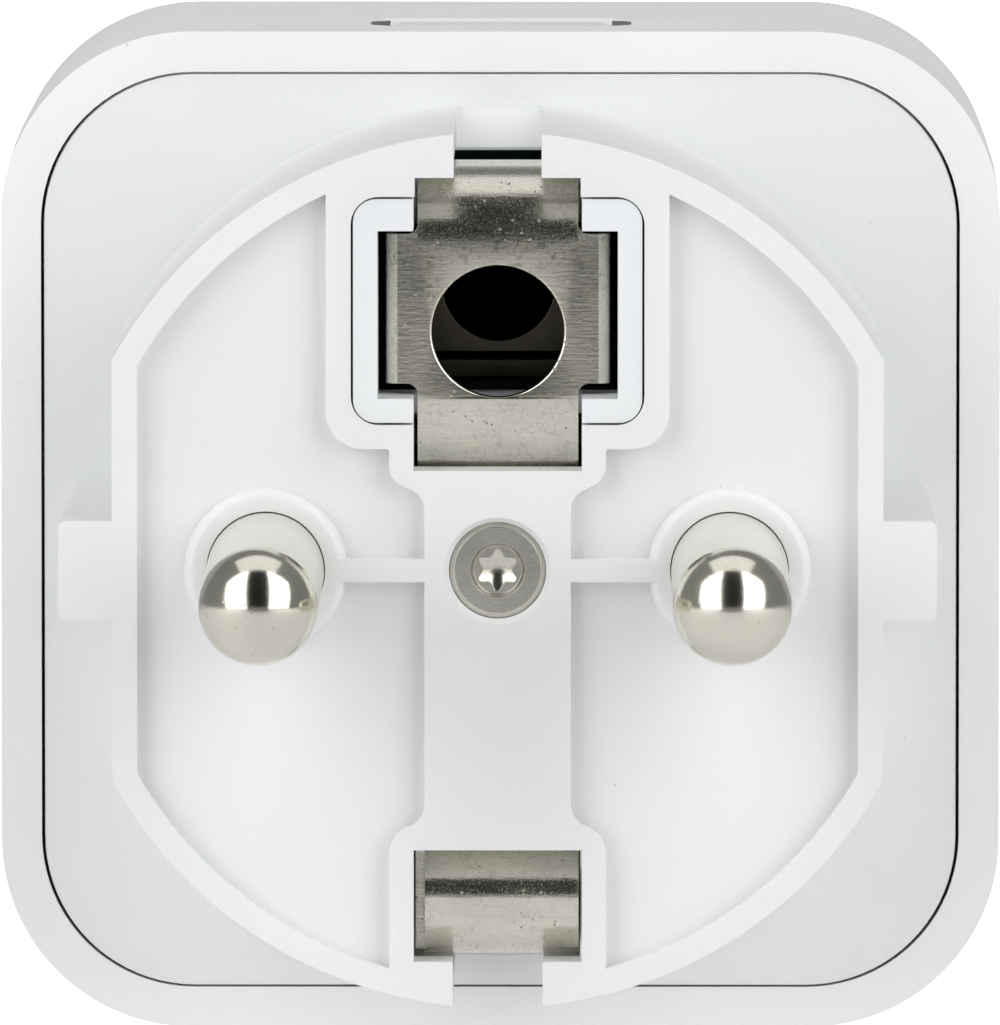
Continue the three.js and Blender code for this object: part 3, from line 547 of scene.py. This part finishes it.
class METER_OT_front_shell(bpy.types.Operator):
    """Build the outer shell with the front face, the socket well and its floor"""

    bl_idname = "meter.front_shell"
    bl_label = "Front shell"

    def execute(self, context):
        sizes = context.scene.meter_shell
        shell = self.outer_body(sizes)
        front_wall = 3
        well_wall = 1.2
        floor_thickness = 1.8
        flat_half = 16.9
        guide_half = 2.6
        boss_radius = 2.6
        screw_hole = 1.35
        well_radius = in_mm(sizes.well_radius)
        floor_y = FRONT_Y - in_mm(sizes.well_depth)
        floor_back = floor_y - floor_thickness
        inner_half = HOUSING_HIGH.x + in_mm(sizes.seam_gap)
        inside = rectangle(inner_half, -inner_half, inner_half, 6.4)
        cavity = solid(slab(inside, RIM_Y - PAST, FRONT_Y - front_wall, 20))
        core = rod(well_radius + well_wall, floor_back, FRONT_Y)
        boss = rod(boss_radius, SHELL_LOW.y, floor_back + PAST, steps=48)
        well = solid(flatted_disc(well_radius, flat_half, floor_y, FRONT_Y + PAST))
        guides = block((-well_radius, floor_y, -guide_half), (well_radius, FRONT_Y + PAST, guide_half))
        groove = keep_inside(solid(guides), rod(well_radius, floor_y - PAST, FRONT_Y + 2 * PAST))
        cut(shell, cut(cavity, core), join(well, groove))
        join(shell, boss)
        cut(shell, rod(screw_hole, SHELL_LOW.y - PAST, 25, steps=32))
        for side in (-1, 1):
            cut(shell, *self.pin_hole(side * PIN_X, floor_back, floor_y))
            cut(shell, self.spring_slot(side * SPRING_FOOT_Z, floor_back, floor_y))
        self.cut_button_pocket(shell)
        finish_piece(
            shell, "front_shell_moulding", "housing",
            moulded_plastic("shell_plastic", context.scene.meter_colours.shell, 0.38),
            ["front_shell"], sizes.edge_fillet)
        return {"FINISHED"}

    def outer_body(self, sizes):
        """A block that widens from its rim, then runs straight to a rounded front."""
        rim_half = in_mm(sizes.rim_half)
        draft_end_y = RIM_Y + 8
        near = 0.1
        rim = rectangle(rim_half, -rim_half, rim_half, in_mm(sizes.corner_radius))
        form = flat_form(rim, "XZ", RIM_Y, 28)
        raise_form(form, (0, draft_end_y - RIM_Y, 0))
        far = [vertex for vertex in form.verts if vertex.co.y > draft_end_y - near]
        spread = SIDE_HALF / rim_half
        bmesh.ops.scale(form, vec=(spread, 1, spread), verts=far)
        front = [face for face in form.faces if face.calc_center_median().y > draft_end_y - near]
        raised = bmesh.ops.extrude_face_region(form, geom=front)
        bmesh.ops.delete(form, geom=front, context="FACES_ONLY")
        moved = [item for item in raised["geom"] if isinstance(item, bmesh.types.BMVert)]
        bmesh.ops.translate(form, vec=(0, FRONT_Y - draft_end_y, 0), verts=moved)
        edge_loop = [edge for edge in form.edges if all(v.co.y > FRONT_Y - near for v in edge.verts)]
        bmesh.ops.bevel(
            form, geom=edge_loop, offset=in_mm(sizes.front_edge), offset_type="OFFSET", segments=12,
            profile=0.5, affect="EDGES", material=-1)
        bmesh.ops.recalc_face_normals(form, faces=form.faces[:])
        return solid(form, "front_shell_moulding")

    def pin_hole(self, x, floor_back, floor_y):
        """Cutters for a pin hole and the wide chamfer around it."""
        radius = 3.0
        chamfer_radius = 3.7
        chamfer_depth = 0.75
        over = 0.05
        hole = rod(radius, floor_back - PAST, floor_y + PAST, x, steps=64)
        chamfer = cone(radius - 0.1, chamfer_radius, floor_y - chamfer_depth, floor_y + over, x, steps=64)
        return hole, chamfer

    def spring_slot(self, z, floor_back, floor_y):
        half_x = 2.8
        half_z = 0.75
        return block((-half_x, floor_back - PAST, z - half_z), (half_x, floor_y + PAST, z + half_z))

    def cut_button_pocket(self, shell):
        """A shallow dish around the button, the button's opening, and a deeper groove at each end."""
        button_half = 4.55
        gap = 0.15
        dish_half = 5.55
        dish_y = (23.6, 28.3)
        dish_z = 20.3
        skin_z = 21.0
        half_x = button_half + gap
        low_y = BUTTON_LOW.y - 0.1
        dish = sheet_layer(rectangle(dish_half, *dish_y, 1.2), dish_z, 23)
        opening = sheet_layer(rectangle(half_x, low_y, 28.0, 0.9), 19.2, 23)
        cut(shell, dish, opening)
        for side in (-1, 1):
            ends = sorted((side * half_x, side * 5.5))
            cut(shell, block((ends[0], 24.2, dish_z - 0.1), (ends[1], 29.4, skin_z)))


class METER_OT_rear_housing(bpy.types.Operator):
    """Build the rear panel with the plug body, its face ribs, windows, slots and pin bosses"""

    bl_idname = "meter.rear_housing"
    bl_label = "Rear housing"

    def execute(self, context):
        sizes = context.scene.meter_plug
        radius = in_mm(sizes.face_radius)
        flat = in_mm(sizes.flat_half)
        rib = in_mm(sizes.edge_rib)
        guide_half = 2.03
        wall = 1.1
        plate = 2.4
        post_radius = 3.2
        post_end_y = 12
        housing = solid(flatted_disc(radius, flat, FACE_Y, PANEL_FRONT_Y), "rear_housing_moulding")
        half = HOUSING_HIGH.x
        join(
            housing,
            slab(rectangle(half, -half - 0.06, half + 0.06, 6.3), RIM_Y + 0.05, 21.2, 20),
            slab(rectangle(half + 0.04, -half - 0.12, half + 0.12, 6.35), 20.5, 21.5, 20),
            slab(rectangle(radius, -guide_half, guide_half, 0.3), FACE_Y, RIM_Y + PAST))
        cut(housing, flatted_disc(radius - wall, flat - wall, plate, PANEL_FRONT_Y + PAST))
        pocket_y = in_mm(sizes.pocket_depth)
        pockets = solid(flatted_disc(radius - rib, flat - rib, FACE_Y - PAST, pocket_y))
        cut(pockets, *self.relief_forms(sizes))
        cut(housing, pockets)
        ramp_block = block((-3.0, 15.1, 16.33), (3.0, RIM_Y + PAST, 17.7))
        join(housing, rod(post_radius, plate - 0.6, post_end_y, steps=48), ramp_block)
        cut(housing, *self.opening_forms(sizes, plate))
        join(housing, block((3.38, 1.9, -16.2), (3.5, 2.9, -11.4)))
        finish_piece(
            housing, "rear_housing_moulding", "housing",
            moulded_plastic("housing_plastic", context.scene.meter_colours.housing, 0.36, 0.15),
            ["rear_housing"], sizes.edge_fillet)
        return {"FINISHED"}

    def relief_forms(self, sizes):
        """What stands up to the face plane between the pockets."""
        low = FACE_Y - 2 * PAST
        high = in_mm(sizes.pocket_depth) + PAST
        web_half = 0.47
        column = mirrored([(3.0, 3.6), (3.0, -10.3, 0.65), (4.44, -10.8, 0.8), (4.44, -17.9)])
        around_earth_hole = mirrored([
            (3.0, 2.0), (3.0, 3.05, 0.5), (4.44, 3.75, 0.55), (4.44, 5.0, 0.12), (7.03, 5.0, 1.5),
            (7.03, 18.5)])
        forms = [slab(column, low, high), slab(around_earth_hole, low, high)]
        forms.append(block((-PIN_X, low, -web_half), (PIN_X, high, web_half)))
        boss = in_mm(sizes.boss_radius)
        round_over = 0.4
        crown = boss - 0.42
        rounding = arc((crown, round_over), round_over, -90, 0, 8)
        outline = [(0, low), (crown, low), (crown, 0)] + rounding + [(boss, high), (0, high)]
        for side in (-1, 1):
            forms.append(turned(outline, side * PIN_X))
        return forms

    def opening_forms(self, sizes, plate):
        """Cutters for the earth frame's seat, the strips' windows and slots, the screw and the pins."""
        fit = 0.09
        outside = FACE_Y - PAST
        window_half = 3.45
        slot_half = 1.8
        ledge_z = 16.12
        ramp_y = 15.1
        ramp_foot_z = 15.3
        seat = rectangle(FRAME_HIGH.x + fit, FRAME_LOW.z - fit, FRAME_HIGH.z + fit, 1.15)
        ramp = [
            (outside, ramp_foot_z), (ramp_y, ramp_foot_z), (ramp_y, 16.45), (RIM_Y - 0.2, 17.8),
            (RIM_Y - 0.2, 19), (outside, 19)]
        head_radius = in_mm(bpy.context.scene.meter_metal.screw_head) + 0.025
        forms = [
            slab(seat, outside, plate + PAST),
            block((-window_half, outside, 4.1), (window_half, plate + PAST, 6.2)),
            raise_form(flat_form(ramp, "YZ", -slot_half), (2 * slot_half, 0, 0)),
            block((-3.4, outside, 13), (3.4, ramp_y, ledge_z)),
            block((-1.75, 15, 15.35), (1.75, RIM_Y - 0.5, 16.3)),
            block((-window_half, outside, -16.1), (window_half, plate + 0.5, -11.5)),
            block((-1.85, outside, -19), (1.85, RIM_Y - 0.05, -15)),
            cone(2.2, head_radius, FACE_Y - 0.01, FACE_Y + 0.25),
            rod(head_radius, outside, SCREW_LOW.y + 1.75, steps=64),
            rod(1.45, FACE_Y, 13, steps=32),
        ]
        pin_fit = 0.035
        for side in (-1, 1):
            forms.append(rod(in_mm(sizes.pin_radius) + pin_fit, outside, plate + PAST, side * PIN_X))
        return forms


class METER_OT_earth_frame(bpy.types.Operator):
    """Build the insulating frame around the plug's earth hole, with a near-black lining inside it as painted
    shade
    """

    bl_idname = "meter.earth_frame"
    bl_label = "Earth hole frame"

    def execute(self, context):
        low_y, high_y = FRAME_LOW.y, FRAME_HIGH.y
        outside = rectangle(FRAME_HIGH.x, FRAME_LOW.z, FRAME_HIGH.z, 0.95)
        insert = solid(slab(outside, low_y, high_y), "earth_frame_moulding")
        bore = block((-4.92, low_y - PAST, 7.05), (4.92, high_y + PAST, 13.93))
        neck = block((-3.45, low_y - PAST, 5), (3.45, 5.3, 17))
        cut(insert, bore, neck)
        # Painted shade: a near-black lining with almost no sheen fills the inside of the earth hole, where
        # there is only shade.
        shade_liner = solid(block((-4.9, 5.0, 7.07), (4.9, high_y - 0.1, 13.91)), "earth_hole_shade_liner")
        back_y = high_y - 0.4
        tunnel = slab(rectangle(4.6, 7.35, 13.65, 0.5), 4, back_y)
        cut(shade_liner, tunnel)
        ring = [(1.5, 13), (2.1, 13), (2.1, back_y + 0.1), (1.5, back_y + 0.1), (1.5, 13)]
        join(shade_liner, turned(ring, 0, 11.0))
        finish_piece(
            shade_liner, "earth_hole_shade_liner", "housing",
            part_coating("liner_painted_shade_black", (0.004, 0.004, 0.004), 0.7, ior=1.12), ["earth_socket_frame"],
            0.05 * MM, 2)
        finish_piece(
            insert, "earth_frame_moulding", "housing",
            moulded_plastic("insert_plastic", (0.83, 0.85, 0.87), 0.33, 0.15), ["earth_socket_frame"],
            context.scene.meter_plug.edge_fillet)
        return {"FINISHED"}


class METER_OT_earth_contacts(bpy.types.Operator):
    """Build the two earth strips of the plug and the fork inside its earth hole"""

    bl_idname = "meter.earth_contacts"
    bl_label = "Earth contacts"

    def execute(self, context):
        sizes = context.scene.meter_metal
        # Painted shade: the earth strips' metal is painted with a darker band as well as tarnished specks.
        metal = brushed_metal(
            "strip_nickel", context.scene.meter_colours.nickel, 0.22, 0.6, 2.0, 0.5, grit=1.6, tarnished_and_shaded=True)
        for place, piece in (("upper", self.upper_strip(sizes)), ("lower", self.lower_strip(sizes))):
            finish_piece(
                piece, f"{place}_earth_strip", "housing", metal, [f"plug_earth_contact_{place}"],
                sizes.edge_fillet, 2)
        # Painted shade: the fork's metal is near black, darker than any bare metal, so it reads as shaded
        # inside the earth hole.
        finish_piece(
            self.fork(), "earth_pin_clip", "housing",
            brushed_metal("fork_metal_painted_dark", (0.10, 0.09, 0.07), 0.35), ["earth_pin_fork"], sizes.edge_fillet, 2)
        return {"FINISHED"}

    def fork(self):
        """A plate with a round throat that is open at its top, and a slot below it."""
        throat_radius = 2.3
        throat_z = 11.2
        piece = solid(block((-3.9, 8.4, 7.3), (3.9, 9.0, 12.6)), "earth_pin_clip")
        throat = rod(throat_radius, 8, 9.5, 0, throat_z)
        mouth = block((-throat_radius, 8, throat_z), (throat_radius, 9.5, 13))
        return cut(piece, throat, mouth, block((-3, 8, 8.1), (3, 9.5, 8.35)))

    def upper_strip(self, sizes):
        """A strip that bends back at its top and its foot, with shoulders and wings around its hole."""
        thickness = in_mm(sizes.strip_thickness)
        face_y = STRIP_LOW.y
        back_y = face_y + thickness
        middle_y = face_y + thickness / 2
        neck_half = 3.3
        wing_half = 4.6
        wing_z = (7.5, 13.65)
        foot_z = 4.0
        tail_half = 1.2
        path = [
            (10.5, 15.4), (9.3, 16.0, 0.6), (middle_y, 16.0, 2.75), (middle_y, 6.9, 2.5),
            (middle_y + 0.35, foot_z, 0.34), (21.4, foot_z)]
        piece = solid(strip(path, thickness, -4.1, 4.1, 20), "upper_earth_strip")
        for side in (-1, 1):
            neck, aside = side * neck_half, side * 5
            above = [(neck, wing_z[1], 0.4), (aside, wing_z[1]), (aside, 18), (neck, 18)]
            below = [(neck, 2), (aside, 2), (aside, wing_z[0]), (neck, wing_z[0], 0.45)]
            cut(piece, slab(above, -1, 20), slab(below, -1, 20))
        tail = block(
            (-tail_half, 21.0, foot_z - thickness / 2), (tail_half, STRIP_HIGH.y, foot_z + thickness / 2))
        wing_end_y = 4.1
        inner_half = wing_half - 0.45
        channel = mirrored([
            (inner_half, back_y, 0.1), (inner_half, wing_end_y), (wing_half, wing_end_y),
            (wing_half, face_y, 0.55)])
        between_wings = block((-neck_half, face_y - 1, 7), (neck_half, face_y + 2, 14))
        wings = cut(solid(sheet_layer(channel, *wing_z)), between_wings)
        join(piece, tail, wings)
        hole = in_mm(sizes.earth_hole)
        roll = 0.11
        rolled_edge = arc((hole + roll, face_y + roll), roll, -90, -180, 6)
        lip = turned(
            [(0, face_y - 0.01), (hole + roll, face_y - 0.01)] + rolled_edge + [(0, face_y + roll)],
            0, EARTH_HOLE_Z)
        return cut(piece, rod(hole, 0, 6, 0, EARTH_HOLE_Z), lip)

    def lower_strip(self, sizes):
        """A strip with a rolled nose that looks out of the lower window, and a low flange beside it."""
        thickness = in_mm(sizes.strip_thickness)
        nose_y = NOSE_LOW.y + thickness / 2
        run_z = -15.75
        return_z = -11.2
        path = [
            (18.3, run_z), (nose_y + 0.3, run_z, 1.5), (nose_y, -13.05, 1.35),
            (nose_y + 1.7, return_z, 0.6), (9.3, return_z)]
        piece = solid(strip(path, thickness, -3.0, 3.32, 14), "lower_earth_strip")
        tail = block(
            (-1.2, 9.0, return_z - thickness / 2), (1.2, NOSE_HIGH.y, return_z + thickness / 2))
        flange = block((-3.4, 3.3, -15.9), (-2.8, 3.6, -11.1))
        return join(piece, tail, flange)


class METER_OT_pins(bpy.types.Operator):
    """Build the two round plug pins"""

    bl_idname = "meter.pins"
    bl_label = "Plug pins"

    def execute(self, context):
        radius = in_mm(context.scene.meter_plug.pin_radius)
        collar_radius = 3.1
        collar_y = (2.7, 4.2)
        shank_radius = 1.8
        metal = brushed_metal(
            "pin_nickel", context.scene.meter_colours.nickel, 0.15, 0.12, 0.8, 1.0, (1.0, 0.05, 1.0))
        tip = arc((0, PIN_LOW.y + radius), radius, -90, 0, 24)
        outline = [(0, PIN_LOW.y)] + tip[1:] + [
            (radius, collar_y[0]), (collar_radius, collar_y[0]), (collar_radius, collar_y[1]),
            (shank_radius, collar_y[1]), (shank_radius, PIN_HIGH.y), (0, PIN_HIGH.y)]
        for pole, side in (("line", -1), ("neutral", 1)):
            pin = solid(turned(outline, side * PIN_X), f"{pole}_pin_turned")
            finish_piece(pin, f"{pole}_pin_turned", "housing", metal, [f"{pole}_pin"], 0.05 * MM, 2)
        return {"FINISHED"}


class METER_OT_screw(bpy.types.Operator):
    """Build the housing screw with its six-lobe recess"""

    bl_idname = "meter.screw"
    bl_label = "Housing screw"

    def execute(self, context):
        head = in_mm(context.scene.meter_metal.screw_head)
        face_y = SCREW_LOW.y
        head_back_y = face_y + 1.65
        shank_radius = 1.25
        dish_depth = 0.16
        chamfer = 0.12
        outline = [
            (0, face_y + dish_depth), (0.98, face_y + dish_depth), (1.12, face_y), (head - 0.2, face_y),
            (head, face_y + chamfer), (head, head_back_y), (shank_radius, head_back_y),
            (shank_radius, SCREW_HIGH.y), (0, SCREW_HIGH.y)]
        piece = solid(turned(outline), "housing_screw_turned")
        recess = solid(slab(self.star(), face_y - 0.2, face_y + 1.2))
        drill_point = turned([(0, -0.5), (1.0, -0.5), (1.0, face_y + 0.3), (0, face_y + 0.9)])
        cut(piece, keep_inside(recess, drill_point))
        finish_piece(
            piece, "housing_screw_turned", "housing",
            brushed_metal(
                "screw_steel", context.scene.meter_colours.steel, 0.22, 0.5, 0.4, 0.3, (0.2, 1.0, 0.2)),
            ["housing_screw"], 0.03 * MM, 2, 0.01)
        return {"FINISHED"}

    def star(self):
        """A six-lobed outline, turned a little so that no point lies on the head's own points."""
        lobes = 6
        steps = 96
        inner_radius = 0.6
        lobe_height = 0.27
        offset = 0.013
        outline = []
        for step in range(steps):
            turn = 2 * math.pi * step / steps
            lobe = (0.5 + 0.5 * math.cos(lobes * turn)) ** 1.4
            reach = inner_radius + lobe_height * lobe
            outline.append((reach * math.sin(turn + offset), reach * math.cos(turn + offset)))
        return outline


class METER_OT_button(bpy.types.Operator):
    """Build the long push button on the top side"""

    bl_idname = "meter.button"
    bl_label = "Button"

    def execute(self, context):
        top_z = BUTTON_HIGH.z
        form = sheet_layer(rectangle(4.55, 24.35, 27.85, 0.8), 19.9, top_z)
        top_edges = [edge for edge in form.edges if all(v.co.z > top_z - 0.01 for v in edge.verts)]
        bmesh.ops.bevel(
            form, geom=top_edges, offset=0.35, offset_type="OFFSET", segments=5, profile=0.5,
            affect="EDGES", material=-1)
        cap = solid(form, "button_cap_moulding")
        skirt = block((-4.35, 24.45, 19.0), (4.35, 26.2, 20.1))
        flange = block((BUTTON_LOW.x, BUTTON_LOW.y, 18.55), (BUTTON_HIGH.x, 26.3, 19.05))
        foot = block((-5.9, 24.6, BUTTON_LOW.z), (-4.1, 25.8, 18.7))
        join(cap, skirt, flange, foot)
        finish_piece(
            cap, "button_cap_moulding", "button",
            moulded_plastic("button_plastic", (0.80, 0.82, 0.81), 0.3, 0.2), ["button_cap"], 0.08 * MM, 2)
        return {"FINISHED"}


class METER_OT_socket_springs(bpy.types.Operator):
    """Build the two earth springs in the socket well"""

    bl_idname = "meter.socket_springs"
    bl_label = "Socket earth springs"

    def execute(self, context):
        metal = brushed_metal(
            "spring_nickel", context.scene.meter_colours.nickel, 0.2, 0.7, 0.8, 0.3, (0.04, 1.0, 1.0))
        thickness = 0.5
        half_width = 2.5
        for name, side in (("upper", 1), ("lower", -1)):
            path = [
                (25.0, side * SPRING_FOOT_Z), (29.6, side * SPRING_FOOT_Z, 1.4), (35.5, side * 15.2, 2.6),
                (41.0, side * 17.0)]
            piece = solid(strip(path, thickness, -half_width, half_width, 10), f"{name}_socket_spring")
            finish_piece(
                piece, f"{name}_socket_spring", f"earth_spring_{name}", metal,
                [f"socket_earth_spring_{name}"], 0.08 * MM, 2)
        return {"FINISHED"}


class METER_OT_inner_parts(bpy.types.Operator):
    """Give every part carried over from the frame its finish"""

    bl_idname = "meter.inner_parts"
    bl_label = "Inner parts"

    def execute(self, context):
        finishes = {
            "white_shell": lambda name: moulded_plastic(name, (0.8, 0.82, 0.8)),
            "white_insert": lambda name: moulded_plastic(name, (0.82, 0.84, 0.85)),
            "nickel": lambda name: brushed_metal(name, (0.64, 0.615, 0.55)),
            "spring_bronze": lambda name: brushed_metal(name, (0.58, 0.42, 0.22), 0.28),
            "steel": lambda name: brushed_metal(name, (0.55, 0.56, 0.57), 0.25),
            "circuit_board": circuit_board_finish,
            "black_plastic": lambda name: part_coating(name, (0.022, 0.022, 0.025)),
            "yellow_plastic": lambda name: part_coating(name, (0.60, 0.38, 0.03), 0.4),
            "blue_coating": lambda name: part_coating(name, (0.03, 0.13, 0.38), 0.3, 1500.0, 0.00002),
            "aluminium_can": lambda name: brushed_metal(name, (0.75, 0.76, 0.77), 0.28),
            "copper": lambda name: brushed_metal(name, (0.72, 0.38, 0.2), 0.28),
            "clear_resin": lambda name: part_coating(name, (0.75, 0.82, 0.88), 0.12),
        }
        made = {}
        slots = {entry["node"]: entry["material_slot"] for entry in frame["record"]["subparts"]}
        for node, part in frame["nodes"].items():
            slot = slots[node]
            if slot not in made:
                made[slot] = finishes[slot](f"{slot}_part")
            part.data.materials.clear()
            part.data.materials.append(made[slot])
        return {"FINISHED"}


def sheet_across(places, half_width):
    """A sheet in metres that follows (Y, Z) places and runs across in X."""
    form = bmesh.new()
    vertices = [form.verts.new((-half_width, y, z)) for y, z in places]
    edges = [form.edges.new(pair) for pair in zip(vertices, vertices[1:])]
    raised = bmesh.ops.extrude_edge_only(form, edges=edges)
    moved = [item for item in raised["geom"] if isinstance(item, bmesh.types.BMVert)]
    bmesh.ops.translate(form, vec=(2 * half_width, 0, 0), verts=moved)
    return form


class METER_OT_stage(bpy.types.Operator):
    """Build the floor, the backdrop, the lights and the camera"""

    bl_idname = "meter.stage"
    bl_label = "Stage"

    def execute(self, context):
        scene = context.scene
        stage = scene.meter_stage
        self.paper_sweep()
        leaning = (0, 0.917, -0.394)
        for name, side in (("left_soft_box", -1), ("right_soft_box", 1)):
            place = (side * 1.13, -0.68, 0.76)
            self.soft_box(name, place, leaning, (1.5, 1.7), 19.0 * stage.side_light)
        self.soft_box("overhead_soft_box", (0, 0.2, 1.3), (0, -0.1, -1), (1.4, 1.0), 3.2 * stage.top_light)
        self.dark_flag()
        self.white_card()
        world = bpy.data.worlds.new("studio_air")
        world.use_nodes = True
        background = world.node_tree.nodes["Background"]
        background.inputs["Color"].default_value = (0.83, 0.84, 0.85, 1)
        background.inputs["Strength"].default_value = 0.26
        scene.world = world
        camera = bpy.data.objects.new("camera", bpy.data.cameras.new("camera"))
        scene.collection.objects.link(camera)
        camera.location = stage.camera_place
        aim = Vector(stage.camera_aim) - Vector(stage.camera_place)
        camera.rotation_euler = aim.to_track_quat("-Z", "Y").to_euler()
        camera.data.lens = stage.lens
        camera.data.sensor_width = 36
        camera.data.clip_start = 0.01
        camera.data.clip_end = 20
        scene.camera = camera
        scene.view_settings.view_transform = "Standard"
        scene.view_settings.look = "None"
        return {"FINISHED"}

    def white_card(self):
        """A small lit card behind the object. Only the camera sees it, and it lights nothing."""
        finish = Finish("lit_card", emission_strength=1.15)
        fibre = finish.noise(500, 2.0)
        finish.paint(finish.mixed(fibre, (0.9, 0.9, 0.9, 1), (0.95, 0.95, 0.95, 1)), 0.8)
        finish.feed(
            finish.surface.inputs["Emission Color"],
            finish.mixed(fibre, (0.97, 0.97, 0.97, 1), (1, 1, 1, 1)))
        card = solid(slab(rectangle(0.06, -0.08, 0.03, 0.01), 0.5, 0.502), "white_card")
        card.data.materials.append(finish.material)
        card.visible_diffuse = False
        card.visible_glossy = False
        card.visible_shadow = False

    def paper_sweep(self):
        """A pale floor with painted shade that darkens it a little far behind the object; it curves up into a
        backdrop.
        """
        finish = Finish("sweep_paper")
        fibre = finish.noise(900, 3.0)
        tone = finish.mixed(fibre, (0.86, 0.86, 0.86, 1), (0.90, 0.90, 0.90, 1))
        depth = finish.node("ShaderNodeSeparateXYZ", None, {"Vector": finish.place}, "Y")
        # Painted shade: the paper is painted greyer from 0.2 m to 0.9 m behind the object, as if less light
        # reached it there.
        tone = finish.mixed(depth.between(0.2, 0.9), tone, (0.72, 0.72, 0.72, 1))
        finish.paint(tone, 0.85 + (fibre - 0.5) * 0.1)
        finish.bumped(fibre, 0.00003)
        floor_z = -0.0815
        near_y, far_y = -2.8, 2.3
        places = ((near_y, floor_z), (far_y, floor_z), (far_y, 1.6))
        form = sheet_across(places, 2.6)
        fold = [
            edge for edge in form.edges
            if all(abs(v.co.y - far_y) < 1e-6 and abs(v.co.z - floor_z) < 1e-6 for v in edge.verts)]
        bmesh.ops.bevel(
            form, geom=fold, offset=0.35, offset_type="OFFSET", segments=16, profile=0.5, affect="EDGES",
            material=-1)
        bmesh.ops.recalc_face_normals(form, faces=form.faces[:])
        for face in form.faces:
            face.smooth = True
        sweep = solid(form, "paper_sweep")
        sweep.data.materials.append(finish.material)

    def soft_box(self, name, place, facing, size, power):
        """A wide lamp. The two at the front lean over the object, with a wide gap between them."""
        light = bpy.data.lights.new(name, "AREA")
        light.shape = "RECTANGLE"
        light.size, light.size_y = size
        light.energy = power
        lamp = bpy.data.objects.new(name, light)
        bpy.context.scene.collection.objects.link(lamp)
        lamp.location = place
        lamp.rotation_euler = Vector(facing).to_track_quat("-Z", "Y").to_euler()
        lamp.visible_camera = False

    def dark_flag(self):
        """Black cloth behind and above the camera, between the soft boxes. Only reflections show it."""
        finish = Finish("flag_cloth")
        weave = finish.noise(700, 2.0)
        finish.paint(finish.mixed(weave, (0.006, 0.006, 0.006, 1), (0.014, 0.014, 0.014, 1)), 0.9)
        form = sheet_across(((-1.5, 0.08), (-1.5, 0.9), (-1.1, 1.45), (-0.35, 1.6)), 0.55)
        flag = solid(form, "dark_flag")
        flag.data.materials.append(finish.material)
        flag.visible_camera = False


OPERATORS = (
    METER_OT_stage, METER_OT_inner_parts, METER_OT_front_shell, METER_OT_rear_housing, METER_OT_earth_frame,
    METER_OT_earth_contacts, METER_OT_pins, METER_OT_screw, METER_OT_button, METER_OT_socket_springs,
)
GROUPS = {
    "meter_shell": MeterShellSizes, "meter_plug": MeterPlugSizes, "meter_metal": MeterMetalSizes,
    "meter_colours": MeterColours, "meter_stage": MeterStage,
}


class METER_PT_build(bpy.types.Panel):
    """Lists the operators that build the power meter, with its sizes and colours"""

    bl_idname = "METER_PT_build"
    bl_label = "Power Meter"
    bl_space_type = "VIEW_3D"
    bl_region_type = "UI"
    bl_category = "Power Meter"

    def draw(self, context):
        for group in GROUPS:
            for name in getattr(context.scene, group).bl_rna.properties.keys():
                if name not in ("rna_type", "name"):
                    self.layout.prop(getattr(context.scene, group), name)
        for operator in OPERATORS:
            self.layout.operator(operator.bl_idname)


def register():
    for name, group in GROUPS.items():
        bpy.utils.register_class(group)
        setattr(bpy.types.Scene, name, bpy.props.PointerProperty(type=group))
    for operator in OPERATORS:
        bpy.utils.register_class(operator)
    bpy.utils.register_class(METER_PT_build)


def unregister():
    bpy.utils.unregister_class(METER_PT_build)
    for operator in reversed(OPERATORS):
        bpy.utils.unregister_class(operator)
    for name, group in GROUPS.items():
        delattr(bpy.types.Scene, name)
        bpy.utils.unregister_class(group)


def main():
    register()
    for operator in OPERATORS:
        group, name = operator.bl_idname.split(".")
        getattr(getattr(bpy.ops, group), name)()


if __name__ == "__main__":
    main()
